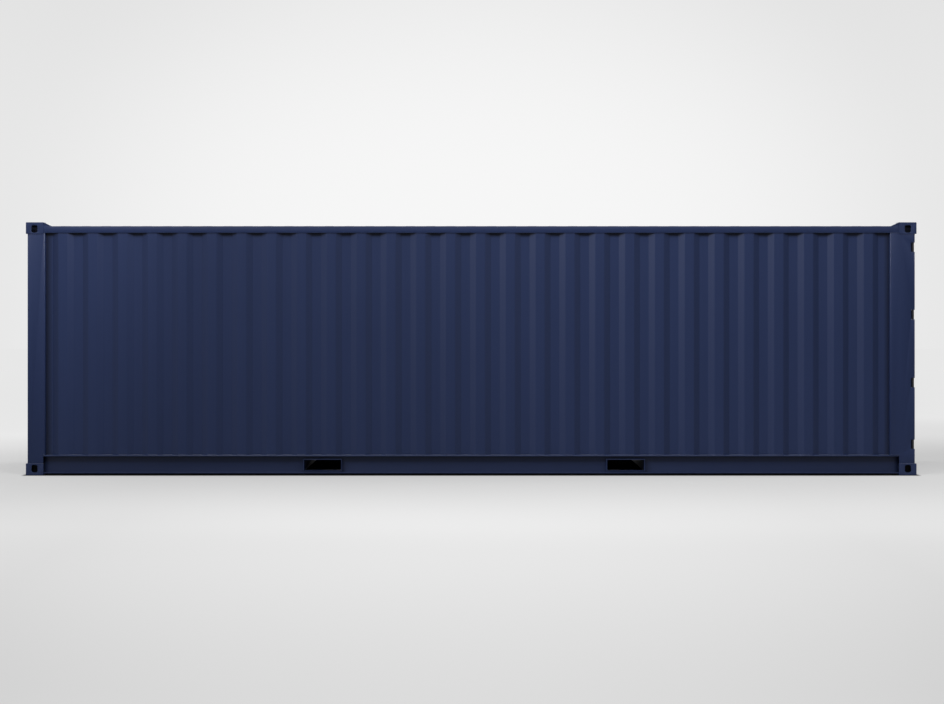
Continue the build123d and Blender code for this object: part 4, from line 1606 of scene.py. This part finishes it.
@dataclass
class Studio:
    """Pale floor, background, light and the photograph's camera, in metres, watts and degrees."""

    wall_plane: float = -1.219
    camera_distance: float = 20.8
    camera_height: float = 1.6
    sensor: float = 36.0
    lens: float = 77.45
    shift: tuple[float, float] = (0.00085, -0.03496)
    sight: float = 400.0
    floor: FloorLook = FloorLook()
    backdrop_tone: float = 0.80
    middle_edge: tuple[float, float] = (0.985, 0.03)
    middle_gain: float = 0.125
    high_edge: tuple[float, float] = (0.14, 0.14)
    high_loss: float = 0.06
    sky: float = 0.35
    sky_lean: float = 0.44
    top_light: float = 0.5
    top_angle: float = 70.0
    top_tilt: float = 12.0
    keys: tuple[SoftBox, ...] = (
        SoftBox("key_middle", (-5.2, 6.0, 6.0), (1.5, 1.2, 1.3), (1.0, 1.0), 57.0, 90.0),
        SoftBox("key_doors", (-1.8, 6.5, 6.5), (7.0, 1.2, 1.3), (1.0, 1.0), 42.0, 80.0),
        SoftBox("key_front", (-1.4, 5.0, 5.0), (-7.0, 1.2, 1.3), (1.0, 1.0), 33.0, 60.0),
    )
    broad: SoftBox = SoftBox("broad", (0.9, 4.8, 5.8), (0.9, 1.2, 1.6), (13.0, 2.0), 168.0, 140.0)
    strip: SoftBox = SoftBox("strip", (15.5, 12.0, 3.0), (0.0, 1.2, 1.5), (1.2, 4.4), 17.0, 120.0)
    ends: tuple[SoftBox, ...] = (
        SoftBox("end_-1", (-12.0, 0.0, 5.4), (-4.56, 0.0, 1.3), (2.2, 2.2), 84.0, 100.0),
        SoftBox("end_+1", (12.0, 0.0, 5.4), (4.56, 0.0, 1.3), (2.2, 2.2), 156.0, 100.0),
    )

    def build(self) -> None:
        """Make everything that isn't the container."""
        self._camera()
        self._floor()
        self._world()
        self._top_light()
        for lamp in self.lamps():
            lamp.build()

    def lamps(self) -> list[SoftBox]:
        """Lamps round the container, the same on both sides.

        On each long side two keys shine towards the doors, so that the slopes of the wall that face the
        doors turn darker, and one shines on the front end, where the photograph shows the others darker.

        Returns:
            The lamps.
        """
        lamps = []
        for side in (-1.0, 1.0):
            for lamp in (*self.keys, self.broad):
                lamps.append(lamp.mirrored(f"{lamp.name}_{side:+.0f}", y_way=side))
            for half in (-1.0, 1.0):
                lamps.append(self.strip.mirrored(f"strip_{side:+.0f}_{half:+.0f}", half, side))
        return [*lamps, *self.ends]

    def _camera(self) -> None:
        """The camera looks level along +Y; the shift frames the picture as in the photograph."""
        data = bpy.data.cameras.new("camera")
        data.sensor_width = self.sensor
        data.lens = self.lens
        data.shift_x, data.shift_y = self.shift
        data.clip_end = self.sight
        camera = bpy.data.objects.new("camera", data)
        camera.location = (0.0, self.wall_plane - self.camera_distance, self.camera_height)
        camera.rotation_euler = (math.radians(90.0), 0.0, 0.0)
        bpy.context.scene.collection.objects.link(camera)
        bpy.context.scene.camera = camera

    def _floor(self) -> None:
        """A wide disc: it takes the shadow near the container, carries painted shadow and painted light, and
        fades into the background far away.
        """
        look = self.floor
        work = bmesh.new()
        bmesh.ops.create_circle(work, cap_ends=True, segments=look.sides, radius=look.radius)
        mesh = bpy.data.meshes.new("floor")
        work.to_mesh(mesh)
        work.free()
        floor = new_piece("floor", mesh)
        shader = Shader("floor")
        across, deep = shader.axis("X"), shader.axis("Y")
        away = (across * across + deep * deep) ** 0.5
        beside = (across.math("ABSOLUTE") - look.half_length).math("MAXIMUM", 0.0)
        before = (deep.math("ABSOLUTE") - look.half_width).math("MAXIMUM", 0.0)
        clear = (beside * beside + before * before) ** 0.5
        near = (beside * beside * look.end_weight + before * before) ** 0.5
        # Painted shadow: the floor's glow and tint turn dark under the container and just round it.
        bare = near.above(*look.dark_edge)
        shade = look.shade(across, deep, clear)
        seen = shader.add("ShaderNodeLightPath")["Is Camera Ray"]
        tint = shader.blend(bare, (look.dark_tint,) * 3, (look.tint,) * 3)
        tint = shader.blend(seen, (look.bounce,) * 3, tint)
        matte = shader.add("ShaderNodeBsdfDiffuse", {}, {"Color": tint})
        glow = shader.add("ShaderNodeEmission", {}, {"Color": (1.0,) * 3, "Strength": seen * shade * bare})
        lit = shader.add("ShaderNodeAddShader", {}, {0: matte, 1: glow})
        pale = shader.add("ShaderNodeEmission", {}, {"Color": (self.backdrop_tone,) * 3})
        far = away.above(*look.far_edge) * seen
        mixed = shader.add("ShaderNodeMixShader", {}, {0: far, 1: lit, 2: pale})
        shader.add("ShaderNodeOutputMaterial", {}, {"Surface": mixed})
        floor.data.materials.append(shader.material)

    def _world(self) -> None:
        """Soft light from all round, weaker from the door side, and a background brighter in the middle."""
        world = bpy.data.worlds.new("studio")
        world.use_nodes = True
        tree = Tree(world.node_tree)
        tree.tree.nodes.clear()
        rays = tree.add("ShaderNodeLightPath")
        seen = rays["Is Camera Ray"].math("MAXIMUM", rays["Is Transmission Ray"])
        aim = tree.add("ShaderNodeTexCoord")["Generated"]
        split = tree.add("ShaderNodeSeparateXYZ", {}, {0: aim})
        middle = split["Y"].above(*self.middle_edge)
        low = 1.0 - split["Z"].above(*self.high_edge) * self.high_loss
        tone = (self.backdrop_tone + middle * self.middle_gain) * low
        pale = tree.add("ShaderNodeBackground", {}, {"Color": (1.0,) * 3, "Strength": tone})
        leaning = (1.0 - split["X"] * self.sky_lean) * self.sky
        light = tree.add("ShaderNodeBackground", {}, {"Color": (1.0,) * 3, "Strength": leaning})
        mixed = tree.add("ShaderNodeMixShader", {}, {0: seen, 1: light, 2: pale})
        tree.add("ShaderNodeOutputWorld", {}, {"Surface": mixed})
        bpy.context.scene.world = world

    def _top_light(self) -> None:
        """Wide soft light from above, a little from the front."""
        data = bpy.data.lights.new("top_light", "SUN")
        data.energy = self.top_light
        data.angle = math.radians(self.top_angle)
        lamp = bpy.data.objects.new("top_light", data)
        lamp.rotation_euler = (math.radians(self.top_tilt), 0.0, 0.0)
        bpy.context.scene.collection.objects.link(lamp)


def corrugated_sheets() -> list[CorrugatedSheet]:
    """The side walls, the front wall and the door panels.

    Returns:
        The sheets.
    """
    side = Folds(flats=28, flat=0.092, slope=0.062, depth=0.036, first_land=0.074, last_land=0.114)
    front = Folds(flats=8, flat=0.110, slope=0.022, depth=0.0456, first_land=0.050, last_land=0.050)
    door = Folds(flats=7, flat=0.110, slope=0.036, depth=0.036, first_land=0.060, last_land=0.060)
    return [
        CorrugatedSheet("side_wall_left", "frame", Lie.LEFT, side),
        CorrugatedSheet("side_wall_right", "frame", Lie.RIGHT, side),
        CorrugatedSheet("front_wall", "frame", Lie.FRONT, front),
        CorrugatedSheet("door_panel_left", "door_left", Lie.DOOR, door),
        CorrugatedSheet("door_panel_right", "door_right", Lie.DOOR, door),
    ]


def slot_of(record: "dict[str, Any]") -> "dict[str, Slot]":
    """Each node's slot, from the record."""
    return {part["node"]: Slot(part["material_slot"]) for part in record["subparts"]}


def body_of(record: "dict[str, Any]") -> "dict[str, str]":
    """Each node's body, from the record."""
    bodies = record["behaviour"]["bodies"]
    return {node: body for body, members in bodies.items() for node in members}


def main() -> None:
    """Dress the container and light it."""
    logging.basicConfig(level=logging.INFO, format="%(name)s: %(message)s")
    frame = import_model()
    slots, bodies = slot_of(frame["record"]), body_of(frame["record"])
    finishes = Finishes()
    steelwork = Steelwork(finishes, slots, bodies)
    sheet_form = CorrugatedSheet.tree(finishes.by_slot[Slot.PAINT])
    sheets = corrugated_sheets()
    for sheet in sheets:
        sheet.build(sheet_form, finishes)
        LOG.info("sheet folded for %s", sheet.node)
    Welds(finishes).build()
    PlywoodFloor(finishes, finishes.by_slot[Slot.ZINC]).build()
    LashingRings(finishes).build()
    for side in ("left", "right"):
        DoorTrim(finishes, side).build()
    remade = {sheet.node for sheet in sheets} | {"floor_boards"}
    for name, node in frame["nodes"].items():
        if name not in remade:
            steelwork.dress(node)
            LOG.info("edges rounded on %s", name)
    Studio().build()
    bpy.context.scene.view_settings.view_transform = "Standard"


if __name__ == "__main__":
    main()
